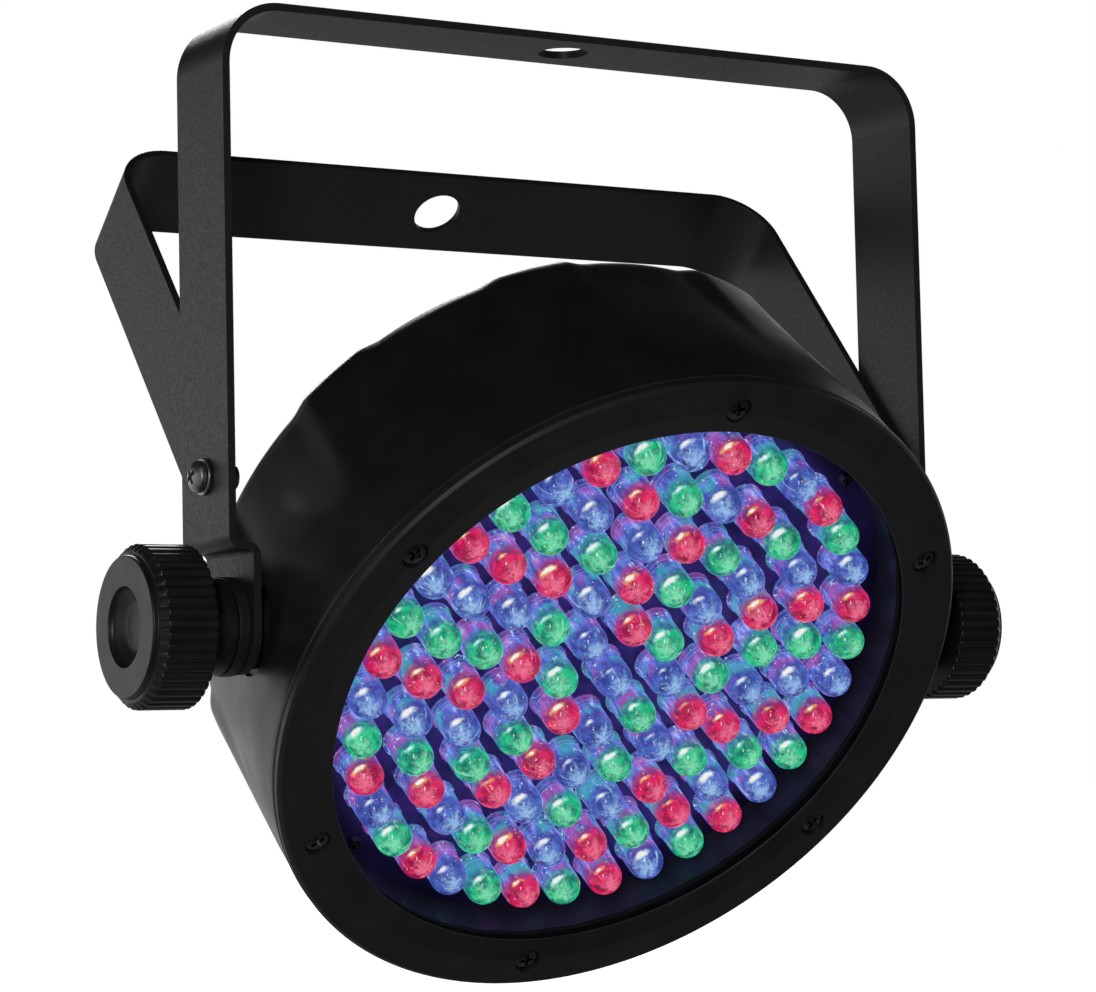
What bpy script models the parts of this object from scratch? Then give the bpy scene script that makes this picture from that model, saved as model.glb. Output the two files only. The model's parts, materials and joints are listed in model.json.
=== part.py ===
"""LED par can light with a double yoke, as separate pieces.

World frame: metres, +Z up, +X along the knob axis, -Y towards the audience.
The origin is the clamp hole in the top of the front bracket, from which the light hangs.

The lamp is modelled in its own frame, parented to the empty "can_frame" on the knob axis:
its +Z points out of the front of the lamp, its +X is the world's and its +Y is the lamp's top.
The knobs and their hardware have +Z pointing outwards along the knob axis.
"""
import math

import bmesh
import bpy
from mathutils import Matrix, Vector

MM = 0.001
GAP = 0.3 * MM                      # clearance kept between touching pieces

# --- driving dimensions -------------------------------------------------------------
TILT = math.radians(38.0)           # lamp tipped down from level
REAR_LEAN = math.radians(40.4)      # rear bracket leaned back from upright
YOKE_DROP = 155.2 * MM              # top face of the front bracket to the knob axis
PIVOT_RISE = 37.2 * MM              # rear bracket's pivot above the knob axis

STRAP_T = 2.0 * MM                  # both brackets are bent from flat strap
STRAP_W = 27.2 * MM
STRAP_BEND = 15.0 * MM              # bend radius on the strap's centreline
FRONT_HALF = 106.6 * MM             # front bracket, centre to a leg's outer face
EAR_HALF = 100.1 * MM               # the same at the ears, below the joggle
JOGGLE_RISE = 19.5 * MM             # joggle's shelf above the knob axis
JOGGLE_BEND = 2.6 * MM
EAR_DROP = 12.0 * MM                # ear's end below the knob axis
EAR_CORNER = 11.0 * MM
REAR_HALF = 104.2 * MM              # rear bracket, centre to a leg's outer face
REAR_LEG = 111.3 * MM               # its pivot to the strap's far face
REAR_FOOT = 6.5 * MM                # its leg's end beyond the pivot
REAR_FOOT_HALF = 5.2 * MM           # the end's half width, between two chamfers
REAR_FOOT_RISE = 3.0 * MM           # where the chamfers start, above the pivot
CLAMP_HOLE_R = 6.75 * MM            # clamp bolt clearance in both straps
STUD_HOLE_R = 4.5 * MM
PIVOT_HOLE_R = 2.3 * MM
PIVOT_WASHER_R = 4.7 * MM
PIVOT_SCREW_END = 97.6 * MM         # from the middle of the light

FACE_Z = 32.3 * MM                  # lamp's front face ahead of the knob axis
CAN_R = 96.0 * MM
OPENING_R = 81.0 * MM               # clear opening of the bezel
BEZEL_BACK_Z = 29.0 * MM
REAR_Z = -36.5 * MM                 # lamp's back face
CAN_REAR_R = 94.4 * MM              # the drum's radius at its rear shoulder
SHOULDER_R = 8.0 * MM
BORE_R = 88.0 * MM
FLUTES = 10
FLUTE_DEPTH = 1.6 * MM
FLUTE_LAND = math.radians(5.0)      # half the angle of a land between two flutes
FLUTE_SLOPE = math.radians(4.5)     # angle over which a land falls to the flute's floor
FLUTE_FRONT_Z = 18.0 * MM           # the flutes fade out here
FLUTE_REAR_Z = -28.0 * MM
FLUTE_INNER_R = 83.0 * MM           # the rear face is round inside this
LEDGE_R = 73.0 * MM                 # opening behind the rear cover
LEDGE_T = 2.5 * MM

SCREW_CIRCLE_R = 87.75 * MM
BEZEL_SCREWS = 6
WINDOW_R = 84.1 * MM
WINDOW_BACK_Z = 28.5 * MM
WINDOW_T = 1.8 * MM

BOARD_TOP_Z = 14.6 * MM
BOARD_T = 1.6 * MM
BOARD_R = 83.0 * MM
BOARD_SCREW_R = 79.4 * MM           # radius of the circle of board screws
BOARD_SCREW_ANGLE = 47.0            # degrees, of the first of four
LED_R = 5.0 * MM
LED_DOME_Z = 23.2 * MM              # centre of the lens dome
MASK_T = 0.8 * MM
# LEDs in rings: ring radius, LEDs in the ring, angle of the first in degrees
LED_RINGS = [
    (70.0 * MM, 35, 9.8),
    (56.2 * MM, 28, 12.4),
    (42.8 * MM, 21, 12.8),
    (29.7 * MM, 15, 2.0),
    (16.4 * MM, 8, 0.0),
    (0.0, 1, 0.0),
]

COVER_R = 80.2 * MM
COVER_T = 2.4 * MM
COVER_BACK_Z = REAR_Z + 0.1 * MM
COVER_SCREW_R = 76.6 * MM
DISPLAY_SIZE = (40.0 * MM, 17.0 * MM)
DISPLAY_Y = 45.0 * MM
BUTTONS = ["button_menu", "button_down", "button_up", "button_enter"]
BUTTON_Y = 24.0 * MM
BUTTON_PITCH = 17.0 * MM
BUTTON_R = 4.0 * MM
BUTTON_PROUD = 1.4 * MM             # how far a button stands out of the cover
KEY_LENGTH = 10.4 * MM              # a button from its cap to its switch
INLET_AT = (-24.0 * MM, -46.0 * MM)
INLET_BODY = (30.0 * MM, 23.0 * MM)
SWITCH_AT = (27.0 * MM, -46.0 * MM)
SWITCH_BODY = (21.0 * MM, 15.0 * MM)
SOCKET_X = 47.0 * MM
SOCKET_Y = -8.0 * MM
SOCKET_R = 11.8 * MM
SOCKET_DEEP = 19.0 * MM
MICROPHONE_AT = (0.0, 4.0 * MM)

KNOB_FACE = 128.8 * MM              # knob's outer face from the middle of the light
KNOB_SKIRT = 112.4 * MM             # where its fluted skirt starts
KNOB_NECK = 103.6 * MM              # where its neck starts
KNOB_R = 20.4 * MM
KNOB_NECK_R = 12.0 * MM
KNOB_RIBS = 44
KNOB_RIB_DEPTH = 0.9 * MM
KNOB_RECESS_R = 9.9 * MM
KNOB_RECESS_DEPTH = 9.0 * MM
STUD_R = 4.0 * MM
SIDE_FLAT = 93.5 * MM               # flat on the drum's side under the ear
INSERT_R = 8.0 * MM

ROUND = 80                          # facets on the lamp's big turned pieces


# --- helpers ------------------------------------------------------------------------
def clear_scene():
    for thing in list(bpy.data.objects):
        bpy.data.objects.remove(thing, do_unlink=True)
    for group in list(bpy.data.collections):
        bpy.data.collections.remove(group)


def new_collection(name):
    group = bpy.data.collections.new(name)
    bpy.context.scene.collection.children.link(group)
    return group


clear_scene()
LIGHT = new_collection("par_can_light")
CUTTERS = new_collection("cutters")


def finish(colour, roughness, metallic=0.0, name="finish", alpha=1.0):
    """A Principled material."""
    mat = bpy.data.materials.new(name)
    mat.use_nodes = True
    shader = mat.node_tree.nodes["Principled BSDF"]
    shader.inputs["Base Color"].default_value = (*colour, 1.0)
    shader.inputs["Roughness"].default_value = roughness
    shader.inputs["Metallic"].default_value = metallic
    shader.inputs["Alpha"].default_value = alpha
    return mat


BLACK_PLASTIC = ((0.020, 0.020, 0.021), 0.42, 0.0)
BEZEL_PLASTIC = ((0.030, 0.030, 0.031), 0.50, 0.0)
POWDER_COAT = ((0.045, 0.045, 0.046), 0.50, 0.0)
BRIGHT_STEEL = ((0.62, 0.61, 0.59), 0.28, 1.0)
BLACK_STEEL = ((0.05, 0.05, 0.05), 0.35, 1.0)
BRASS = ((0.70, 0.50, 0.22), 0.35, 1.0)
RUBBER = ((0.015, 0.015, 0.015), 0.75, 0.0)
NYLON = ((0.05, 0.05, 0.05), 0.55, 0.0)
BOARD_BLACK = ((0.010, 0.012, 0.018), 0.30, 0.0)
BOARD_GREEN = ((0.02, 0.16, 0.07), 0.45, 0.0)
LED_CLEAR = ((0.70, 0.72, 0.90), 0.10, 0.0)
WINDOW_CLEAR = ((0.90, 0.92, 0.95), 0.05, 0.0)
SMOKED = ((0.03, 0.01, 0.01), 0.08, 0.0)


def add_object(name, mesh, parent=None, look=None):
    """Link a mesh as a part when it has a look, or as a cutter when it has none."""
    thing = bpy.data.objects.new(name, mesh)
    thing.parent = parent
    if look is None:
        CUTTERS.objects.link(thing)
        thing.hide_render = True
        thing.display_type = "WIRE"
        return thing
    LIGHT.objects.link(thing)
    colour, roughness, metallic = look[:3]
    alpha = look[3] if len(look) > 3 else 1.0
    mesh.materials.clear()
    mesh.materials.append(finish(colour, roughness, metallic, name + "_finish", alpha))
    return thing


def smooth(thing, angle=35.0):
    thing.data.shade_smooth()
    thing.data.set_sharp_from_angle(angle=math.radians(angle))
    return thing


def evaluated_mesh(thing):
    """A real mesh of an object with its modifiers, its open seams welded."""
    bpy.context.view_layer.update()
    graph = bpy.context.evaluated_depsgraph_get()
    mesh = bpy.data.meshes.new_from_object(thing.evaluated_get(graph))
    work = bmesh.new()
    work.from_mesh(mesh)
    bmesh.ops.remove_doubles(work, verts=work.verts, dist=0.001 * MM)
    work.to_mesh(mesh)
    work.free()
    return mesh


def turned_mesh(profile, steps):
    """Turn a profile of (radius, z) points about Z: down the outer side, as a Screw needs.

    A profile that starts and ends on the axis is left open, and any other is closed.
    """
    closed = profile[0][0] > 0.0 or profile[-1][0] > 0.0
    count = len(profile)
    edges = [(i, i + 1) for i in range(count - 1)]
    if closed:
        edges.append((count - 1, 0))
    mesh = bpy.data.meshes.new("profile")
    mesh.from_pydata([(r, 0.0, z) for r, z in profile], edges, [])
    blank = bpy.data.objects.new("profile", mesh)
    CUTTERS.objects.link(blank)
    screw = blank.modifiers.new("turn", "SCREW")
    screw.axis = "Z"
    screw.steps = steps
    screw.render_steps = steps
    screw.use_merge_vertices = True
    screw.merge_threshold = 0.00001
    screw.use_normal_calculate = False
    turned = evaluated_mesh(blank)
    bpy.data.objects.remove(blank, do_unlink=True)
    return turned


def turned(name, profile, steps, parent=None, look=None):
    return smooth(add_object(name, turned_mesh(profile, steps), parent, look))


def disc(radius, low, high, bore=0.0):
    """The profile of a plain disc or washer."""
    if bore > 0.0:
        return [(bore, high), (radius, high), (radius, low), (bore, low)]
    return [(0.0, high), (radius, high), (radius, low), (0.0, low)]


def box(name, size, centre, parent=None, look=None):
    mesh = bpy.data.meshes.new(name)
    work = bmesh.new()
    bmesh.ops.create_cube(work, size=1.0)
    bmesh.ops.scale(work, vec=Vector(size), verts=work.verts)
    bmesh.ops.translate(work, vec=Vector(centre), verts=work.verts)
    work.to_mesh(mesh)
    work.free()
    return add_object(name, mesh, parent, look)


def rod(name, radius, start, end, sides=16, parent=None, look=None):
    """A cylinder between two points."""
    start = Vector(start)
    end = Vector(end)
    along = end - start
    turn = along.to_track_quat("Z", "Y").to_matrix().to_4x4()
    place = Matrix.Translation((start + end) / 2) @ turn
    mesh = bpy.data.meshes.new(name)
    work = bmesh.new()
    bmesh.ops.create_cone(
        work, cap_ends=True, segments=sides, radius1=radius, radius2=radius,
        depth=along.length, matrix=place,
    )
    work.to_mesh(mesh)
    work.free()
    return add_object(name, mesh, parent, look)


def plain_disc(name, radius, low, high, sides, parent=None, look=None):
    return smooth(rod(name, radius, (0, 0, low), (0, 0, high), sides, parent, look))


def flat_plate(name, outline, thickness, place=None, parent=None, look=None):
    """A flat outline of (x, y) points given a thickness about its own plane."""
    curve = bpy.data.curves.new(name, "CURVE")
    curve.dimensions = "2D"
    curve.fill_mode = "BOTH"
    curve.extrude = thickness / 2
    spline = curve.splines.new("POLY")
    spline.points.add(len(outline) - 1)
    for point, (x, y) in zip(spline.points, outline):
        point.co = (x, y, 0.0, 1.0)
    spline.use_cyclic_u = True
    sketch = bpy.data.objects.new(name + "_sketch", curve)
    CUTTERS.objects.link(sketch)
    mesh = evaluated_mesh(sketch)
    bpy.data.objects.remove(sketch, do_unlink=True)
    if place is not None:
        mesh.transform(place)
    return add_object(name, mesh, parent, look)


def boolean(thing, other, operation="DIFFERENCE"):
    modifier = thing.modifiers.new(operation.lower(), "BOOLEAN")
    modifier.operation = operation
    modifier.solver = "EXACT"
    modifier.object = other
    return thing


def joined_mesh(name, meshes):
    """Several separate closed meshes as one, to cut or join in a single step."""
    work = bmesh.new()
    for mesh in meshes:
        work.from_mesh(mesh)
    whole = bpy.data.meshes.new(name)
    work.to_mesh(whole)
    work.free()
    return whole


def gather(name, things, parent=None):
    """Turn several cutters into one object."""
    whole = joined_mesh(name, [thing.data for thing in things])
    for thing in things:
        bpy.data.objects.remove(thing, do_unlink=True)
    return add_object(name, whole, parent)


def arc(centre, radius, start, end, steps):
    """Points of an arc, angles in degrees."""
    points = []
    for k in range(steps + 1):
        a = math.radians(start + (end - start) * k / steps)
        points.append((centre[0] + radius * math.cos(a), centre[1] + radius * math.sin(a)))
    return points


def polar(radius, degrees):
    a = math.radians(degrees)
    return (radius * math.cos(a), radius * math.sin(a))


def rounded_box(width, height, corner, steps=3, centre=(0.0, 0.0)):
    """Outline of a rectangle with round corners, anticlockwise."""
    w = width / 2 - corner
    h = height / 2 - corner
    points = []
    for sx, sy, start in ((1, 1, 0), (-1, 1, 90), (-1, -1, 180), (1, -1, 270)):
        corner_at = (centre[0] + sx * w, centre[1] + sy * h)
        points += arc(corner_at, corner, start, start + 90, steps)
    return points


def ease(value):
    value = min(max(value, 0.0), 1.0)
    return value * value * (3.0 - 2.0 * value)


def empty(name, location, rotation=(0.0, 0.0, 0.0), parent=None):
    thing = bpy.data.objects.new(name, None)
    thing.location = location
    thing.rotation_euler = rotation
    thing.parent = parent
    LIGHT.objects.link(thing)
    return thing


# --- brackets -----------------------------------------------------------------------
def bent_outline(corners, bends, thickness, steps=5):
    """Edge-on outline of a strap that follows straight runs joined by bends."""
    samples = []
    for i, point in enumerate(corners):
        here = Vector(point)
        before = (here - Vector(corners[i - 1])).normalized() if i > 0 else None
        after = (Vector(corners[i + 1]) - here).normalized() if i < len(corners) - 1 else None
        if before is None or after is None:
            run = after or before
            samples.append((here, Vector((-run.y, run.x))))
            continue
        turn = before.cross(after)
        side = 1.0 if turn > 0 else -1.0
        half = math.acos(max(-1.0, min(1.0, before.dot(after)))) / 2
        reach = bends[i] * math.tan(half)
        start_normal = Vector((-before.y, before.x))
        middle = here - before * reach + start_normal * side * bends[i]
        first = math.atan2(-start_normal.y * side, -start_normal.x * side)
        for k in range(steps + 1):
            a = first + side * 2 * half * k / steps
            outwards = Vector((math.cos(a), math.sin(a)))
            samples.append((middle + outwards * bends[i], outwards * -side))
    left = [p + n * thickness / 2 for p, n in samples]
    right = [p - n * thickness / 2 for p, n in samples]
    return [(p.x, p.y) for p in left + right[::-1]]


def strap_bracket(name, path, bends, foot, parent):
    """A strap bent to a path in XZ, its ends trimmed to the side outline in YZ."""
    upright = Matrix.Rotation(math.radians(90), 4, "X")
    edge_on = bent_outline(path, bends, STRAP_T)
    strap = flat_plate(name, edge_on, STRAP_W, upright, parent, POWDER_COAT)
    sideways = Matrix.Rotation(math.radians(90), 4, "Z") @ Matrix.Rotation(math.radians(90), 4, "X")
    trim = flat_plate(name + "_trim", foot, 4 * FRONT_HALF, sideways, parent)
    return boolean(strap, trim, "INTERSECT")


def round_foot(top, bottom, corner):
    """Side outline of a bracket: square at the top, round at the foot."""
    half = STRAP_W / 2
    points = [(half, top), (-half, top)]
    points += arc((-half + corner, bottom + corner), corner, 180, 270, 4)
    points += arc((half - corner, bottom + corner), corner, 270, 360, 4)
    return points


def tapered_foot(top):
    """Side outline of the rear bracket: square at the top, chamfered to a narrow foot."""
    half = STRAP_W / 2
    return [
        (half, top),
        (-half, top),
        (-half, REAR_FOOT_RISE),
        (-REAR_FOOT_HALF, -REAR_FOOT),
        (REAR_FOOT_HALF, -REAR_FOOT),
        (half, REAR_FOOT_RISE),
    ]


def front_bracket():
    ear_x = EAR_HALF - STRAP_T / 2
    leg_x = FRONT_HALF - STRAP_T / 2
    foot = -YOKE_DROP - EAR_DROP
    shelf = -YOKE_DROP + JOGGLE_RISE
    top = -STRAP_T / 2
    right = [(ear_x, foot - 1 * MM), (ear_x, shelf), (leg_x, shelf), (leg_x, top)]
    path = right + [(-x, z) for x, z in reversed(right)]
    bends = [0, JOGGLE_BEND, JOGGLE_BEND, STRAP_BEND, STRAP_BEND, JOGGLE_BEND, JOGGLE_BEND, 0]
    side = round_foot(5 * MM, foot, EAR_CORNER)
    strap = strap_bracket("front_bracket", path, bends, side, None)
    reach = FRONT_HALF + 5 * MM
    knob_z = -YOKE_DROP
    pivot_z = knob_z + PIVOT_RISE
    holes = gather("front_bracket_holes", [
        rod("clamp_hole", CLAMP_HOLE_R, (0, 0, -6 * MM), (0, 0, 4 * MM), 20),
        rod("stud_holes", STUD_HOLE_R, (-reach, 0, knob_z), (reach, 0, knob_z), 12),
        rod("pivot_holes", PIVOT_HOLE_R, (-reach, 0, pivot_z), (reach, 0, pivot_z), 10),
    ])
    return smooth(boolean(strap, holes))


def rear_bracket(pivot):
    leg_x = REAR_HALF - STRAP_T / 2
    top = REAR_LEG - STRAP_T / 2
    foot = -REAR_FOOT - 1 * MM
    path = [(leg_x, foot), (leg_x, top), (-leg_x, top), (-leg_x, foot)]
    bends = [0, STRAP_BEND, STRAP_BEND, 0]
    side = tapered_foot(REAR_LEG + 5 * MM)
    strap = strap_bracket("rear_bracket", path, bends, side, pivot)
    reach = REAR_HALF + 5 * MM
    inside = (0, 0, REAR_LEG - 6 * MM)
    outside = (0, 0, REAR_LEG + 4 * MM)
    holes = gather("rear_bracket_holes", [
        rod("rear_clamp_hole", CLAMP_HOLE_R, inside, outside, 20),
        rod("rear_pivot_holes", PIVOT_HOLE_R, (-reach, 0, 0), (reach, 0, 0), 10),
    ], pivot)
    return smooth(boolean(strap, holes))


# --- fasteners ----------------------------------------------------------------------
def cross_recess(screw, width, depth, top, parent):
    """Cut a cross into a screw head whose top is at the given height."""
    blade = width * 0.28
    for size in ((width, blade), (blade, width)):
        arm = box(screw.name + "_recess", (*size, depth * 2), (0, 0, top), parent)
        boolean(screw, arm)
    return screw


def pan_screw(name, head_r, head_h, shaft_r, length, parent, look, steps=10):
    """A cross-recess pan-head screw: its head sits on z = 0 and its shaft runs to -Z."""
    profile = [
        (0.0, head_h),
        (head_r * 0.75, head_h * 0.88),
        (head_r, 0.0),
        (shaft_r, 0.0),
        (shaft_r, -length),
        (0.0, -length),
    ]
    screw = turned(name, profile, steps, parent, look)
    return cross_recess(screw, head_r * 1.15, head_h * 0.55, head_h, parent)


def countersunk_screw(name, head_r, head_h, shaft_r, length, parent, look, steps=10):
    """A cross-recess countersunk screw: its head's top is at z = 0."""
    profile = [
        (0.0, 0.0),
        (head_r, -0.2 * MM),
        (shaft_r, -head_h),
        (shaft_r, -length),
        (0.0, -length),
    ]
    screw = turned(name, profile, steps, parent, look)
    return cross_recess(screw, head_r * 1.15, head_h * 0.5, 0.0, parent)


def nut(name, across_flats, bore, low, high, parent, look):
    profile = disc(across_flats / math.sqrt(3), low, high, bore)
    return add_object(name, turned_mesh(profile, 6), parent, look)


# --- lamp housing -------------------------------------------------------------------
def flute_cut(angle, z, radius):
    """How far the drum's surface dips inwards at an angle, height and radius."""
    pitch = 2 * math.pi / FLUTES
    from_land = abs((angle + pitch / 2) % pitch - pitch / 2)
    across = ease((from_land - FLUTE_LAND) / FLUTE_SLOPE)
    along = ease((FLUTE_FRONT_Z - z) / (FLUTE_FRONT_Z - FLUTE_REAR_Z))
    fade = ease((radius - FLUTE_INNER_R) / (CAN_REAR_R - FLUTE_INNER_R))
    return FLUTE_DEPTH * across * along * fade


def can_body(can):
    """The drum: a moulded cup with soft flutes, open at the front and for the rear cover."""
    rim = BEZEL_BACK_Z - GAP
    shoulder = arc((CAN_REAR_R - SHOULDER_R, REAR_Z + SHOULDER_R), SHOULDER_R, 0, -90, 3)
    ledge = COVER_BACK_Z + COVER_T + GAP
    profile = [(85.6 * MM, rim), (CAN_R, rim)]
    profile += [(95.9 * MM, 17 * MM), (95.5 * MM, 4 * MM), (95.0 * MM, -10 * MM)]
    profile += shoulder
    profile += [(COVER_R + 0.4 * MM, REAR_Z), (COVER_R + 0.4 * MM, ledge), (LEDGE_R, ledge)]
    profile += [(LEDGE_R, ledge + LEDGE_T), (BORE_R, ledge + LEDGE_T)]
    profile += [(BORE_R, 24 * MM)]
    mesh = turned_mesh(profile, ROUND)
    for vertex in mesh.vertices:
        x, y, z = vertex.co
        radius = math.hypot(x, y)
        if radius > BORE_R or (z < REAR_Z + 0.01 * MM and radius > COVER_R + 1 * MM):
            scale = (radius - flute_cut(math.atan2(y, x), z, radius)) / radius
            vertex.co = (x * scale, y * scale, z)
    drum = add_object("can_body", mesh, can, BLACK_PLASTIC)

    flats = []
    for side in (-1, 1):
        flats.append(rod("ear_flat", 17 * MM, (side * SIDE_FLAT, 0, 0), (side * 99 * MM, 0, 0), 20))
    boolean(drum, gather("can_body_flats", flats, can))

    bosses = []
    for k in range(BEZEL_SCREWS):
        x, y = polar(88.4 * MM, 90 + 60 * k)
        bosses.append(rod("screw_boss", 3.9 * MM, (x, y, 10 * MM), (x, y, rim - 0.1 * MM), 10))
    for k in range(4):
        x, y = polar(COVER_SCREW_R, 45 + 90 * k)
        bosses.append(rod("cover_boss", 3.2 * MM, (x, y, ledge + 1 * MM), (x, y, ledge + 9 * MM), 8))
    for side in (-1, 1):
        bosses.append(rod("insert_boss", 12 * MM, (side * 82 * MM, 0, 0), (side * 90 * MM, 0, 0), 16))
    boolean(drum, gather("can_body_bosses", bosses, can), "UNION")

    holes = []
    for k in range(BEZEL_SCREWS):
        x, y = polar(SCREW_CIRCLE_R, 90 + 60 * k)
        holes.append(rod("screw_hole", 1.8 * MM, (x, y, 12 * MM), (x, y, 30 * MM), 8))
    for k in range(4):
        x, y = polar(COVER_SCREW_R, 45 + 90 * k)
        holes.append(rod("cover_hole", 1.6 * MM, (x, y, ledge - 1 * MM), (x, y, ledge + 8 * MM), 6))
    for side in (-1, 1):
        inner = (side * 80 * MM, 0, 0)
        outer = (side * 99 * MM, 0, 0)
        holes.append(rod("insert_hole", INSERT_R + GAP, inner, outer, 16))
    boolean(drum, gather("can_body_holes", holes, can))
    return smooth(drum, 32)


def bezel_ring(can):
    """Front ring: dished in towards the window and bevelled off to the drum outside."""
    profile = [
        (OPENING_R, FACE_Z - 1.1 * MM),
        (87.0 * MM, FACE_Z),
        (92.7 * MM, FACE_Z),
        (CAN_R, FACE_Z - 1.6 * MM),
        (CAN_R, BEZEL_BACK_Z),
        (WINDOW_R + 0.4 * MM, BEZEL_BACK_Z),
        (WINDOW_R + 0.4 * MM, WINDOW_BACK_Z + WINDOW_T + GAP),
        (OPENING_R, WINDOW_BACK_Z + WINDOW_T + GAP),
    ]
    ring = turned("bezel_ring", profile, 60, can, BEZEL_PLASTIC)
    holes = []
    for k in range(BEZEL_SCREWS):
        x, y = polar(SCREW_CIRCLE_R, 90 + 60 * k)
        sink = [
            (0.0, FACE_Z + 1 * MM),
            (3.55 * MM, FACE_Z + 1 * MM),
            (3.55 * MM, FACE_Z - 1.3 * MM),
            (2.0 * MM, BEZEL_BACK_Z - 1 * MM),
            (0.0, BEZEL_BACK_Z - 1 * MM),
        ]
        hole = add_object("sink", turned_mesh(sink, 10))
        hole.data.transform(Matrix.Translation((x, y, 0)))
        holes.append(hole)
    return boolean(ring, gather("bezel_ring_holes", holes, can))


def bezel_screws(can):
    for k in range(BEZEL_SCREWS):
        x, y = polar(SCREW_CIRCLE_R, 90 - 60 * k)
        seat = empty(f"bezel_screw_seat_{k + 1}", (x, y, FACE_Z - 0.7 * MM), (0, 0, 0.5 * k), can)
        name = f"bezel_screw_{k + 1}"
        countersunk_screw(name, 3.2 * MM, 2.0 * MM, 1.4 * MM, 14 * MM, seat, BLACK_STEEL)


def window_and_seal(can):
    top = WINDOW_BACK_Z + WINDOW_T
    look = (*WINDOW_CLEAR, 0.25)
    plain_disc("front_window", WINDOW_R, WINDOW_BACK_Z, top, ROUND, can, look)
    seal_top = WINDOW_BACK_Z - GAP
    seal = disc(84.0 * MM, seal_top - 1.0 * MM, seal_top, 81.6 * MM)
    turned("window_gasket", seal, 36, can, RUBBER)
    foot = BOARD_TOP_Z + MASK_T + 2 * GAP
    lip = seal_top - 1.0 * MM - GAP
    turned("light_baffle", disc(83.0 * MM, foot, lip, 81.6 * MM), 36, can, BLACK_PLASTIC)


# --- LED board ----------------------------------------------------------------------
def led_places():
    """Centres of all the LEDs, ring by ring."""
    places = []
    for radius, count, first in LED_RINGS:
        for k in range(count):
            places.append(polar(radius, first + 360.0 * k / count))
    return places


def led_board(can):
    board_low = BOARD_TOP_Z - BOARD_T
    board = plain_disc("led_board", BOARD_R, board_low, BOARD_TOP_Z, 48, can, BOARD_BLACK)
    corners = [polar(BOARD_SCREW_R, BOARD_SCREW_ANGLE + 90 * k) for k in range(4)]
    holes = []
    for x, y in corners:
        holes.append(rod("board_hole", 1.8 * MM, (x, y, board_low - 1 * MM), (x, y, 16 * MM), 10))
    boolean(board, gather("led_board_holes", holes, can))

    mask_low = BOARD_TOP_Z + GAP
    mask_r = LED_RINGS[0][0] + LED_R + 0.8 * MM
    mask = plain_disc("led_cluster", mask_r, mask_low, mask_low + MASK_T, 36, can, LED_CLEAR)
    dome = [
        (0.0, LED_DOME_Z + LED_R),
        (LED_R * 0.87, LED_DOME_Z + LED_R * 0.5),
        (LED_R, mask_low + MASK_T / 2),
        (0.0, mask_low + MASK_T / 2),
    ]
    domes = []
    for x, y in led_places():
        lens = turned_mesh(dome, 6)
        lens.transform(Matrix.Translation((x, y, 0)))
        domes.append(lens)
    boolean(mask, add_object("led_domes", joined_mesh("led_domes", domes), can), "UNION")

    for k, (x, y) in enumerate(corners):
        foot = (x, y, -8 * MM)
        head = (x, y, board_low - GAP)
        post = rod(f"board_standoff_{k + 1}", 3.0 * MM, foot, head, 6, can, BRASS)
        hole = rod(f"standoff_hole_{k + 1}", 1.7 * MM, (x, y, 4 * MM), (x, y, 16 * MM), 8, can)
        boolean(post, hole)
        seat = empty(f"board_screw_seat_{k + 1}", (x, y, BOARD_TOP_Z + GAP), (0, 0, 0.4 * k), can)
        pan_screw(f"board_screw_{k + 1}", 2.2 * MM, 1.6 * MM, 1.4 * MM, 6 * MM, seat, BLACK_STEEL, 8)


def inner_boards(can):
    """Power supply on the chassis plate and the control board behind the panel."""
    chassis = flat_plate(
        "chassis_plate", rounded_box(126 * MM, 122 * MM, 14 * MM, 2), 1.5 * MM,
        Matrix.Translation((0, 0, -9.1 * MM)), can, BRIGHT_STEEL,
    )
    posts = []
    for k in range(4):
        x, y = polar(BOARD_SCREW_R, BOARD_SCREW_ANGLE + 90 * k)
        posts.append(rod("foot", 4.5 * MM, (x, y, -9.8 * MM), (x, y, -8.4 * MM), 10))
        tab = box("tab", (22 * MM, 7 * MM, 1.4 * MM), (0, 0, 0))
        turn = Matrix.Rotation(math.radians(BOARD_SCREW_ANGLE + 90 * k), 4, "Z")
        tab.data.transform(turn @ Matrix.Translation((68 * MM, 0, -9.1 * MM)))
        posts.append(tab)
    for post in posts:
        post.parent = can
        boolean(chassis, post, "UNION")

    size = (96 * MM, 52 * MM, BOARD_T)
    power = box("power_supply", size, (0, 2 * MM, -6.9 * MM), can, BOARD_GREEN)
    lumps = [
        box("transformer", (30 * MM, 26 * MM, 13 * MM), (-26 * MM, 4 * MM, -0.2 * MM)),
        box("heat_sink", (8 * MM, 40 * MM, 14 * MM), (36 * MM, 2 * MM, 0.3 * MM)),
        rod("capacitor", 8 * MM, (9 * MM, 10 * MM, -6.5 * MM), (9 * MM, 10 * MM, 6 * MM), 14),
        rod("small_capacitor", 5 * MM, (9 * MM, -12 * MM, -6.5 * MM), (9 * MM, -12 * MM, 4 * MM), 12),
    ]
    boolean(power, gather("power_parts", lumps, can), "UNION")

    size = (84 * MM, 42 * MM, BOARD_T)
    control = box("control_board", size, (0, 36 * MM, -22.0 * MM), can, BOARD_GREEN)
    lumps = [box("display_unit", (34 * MM, 13 * MM, 6.6 * MM), (0, DISPLAY_Y, -26.0 * MM))]
    for k in range(len(BUTTONS)):
        x = (k - 1.5) * BUTTON_PITCH
        lumps.append(box("key_switch", (6 * MM, 6 * MM, 4 * MM), (x, BUTTON_Y, -24.5 * MM)))
    boolean(control, gather("control_parts", lumps, can), "UNION")


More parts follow.
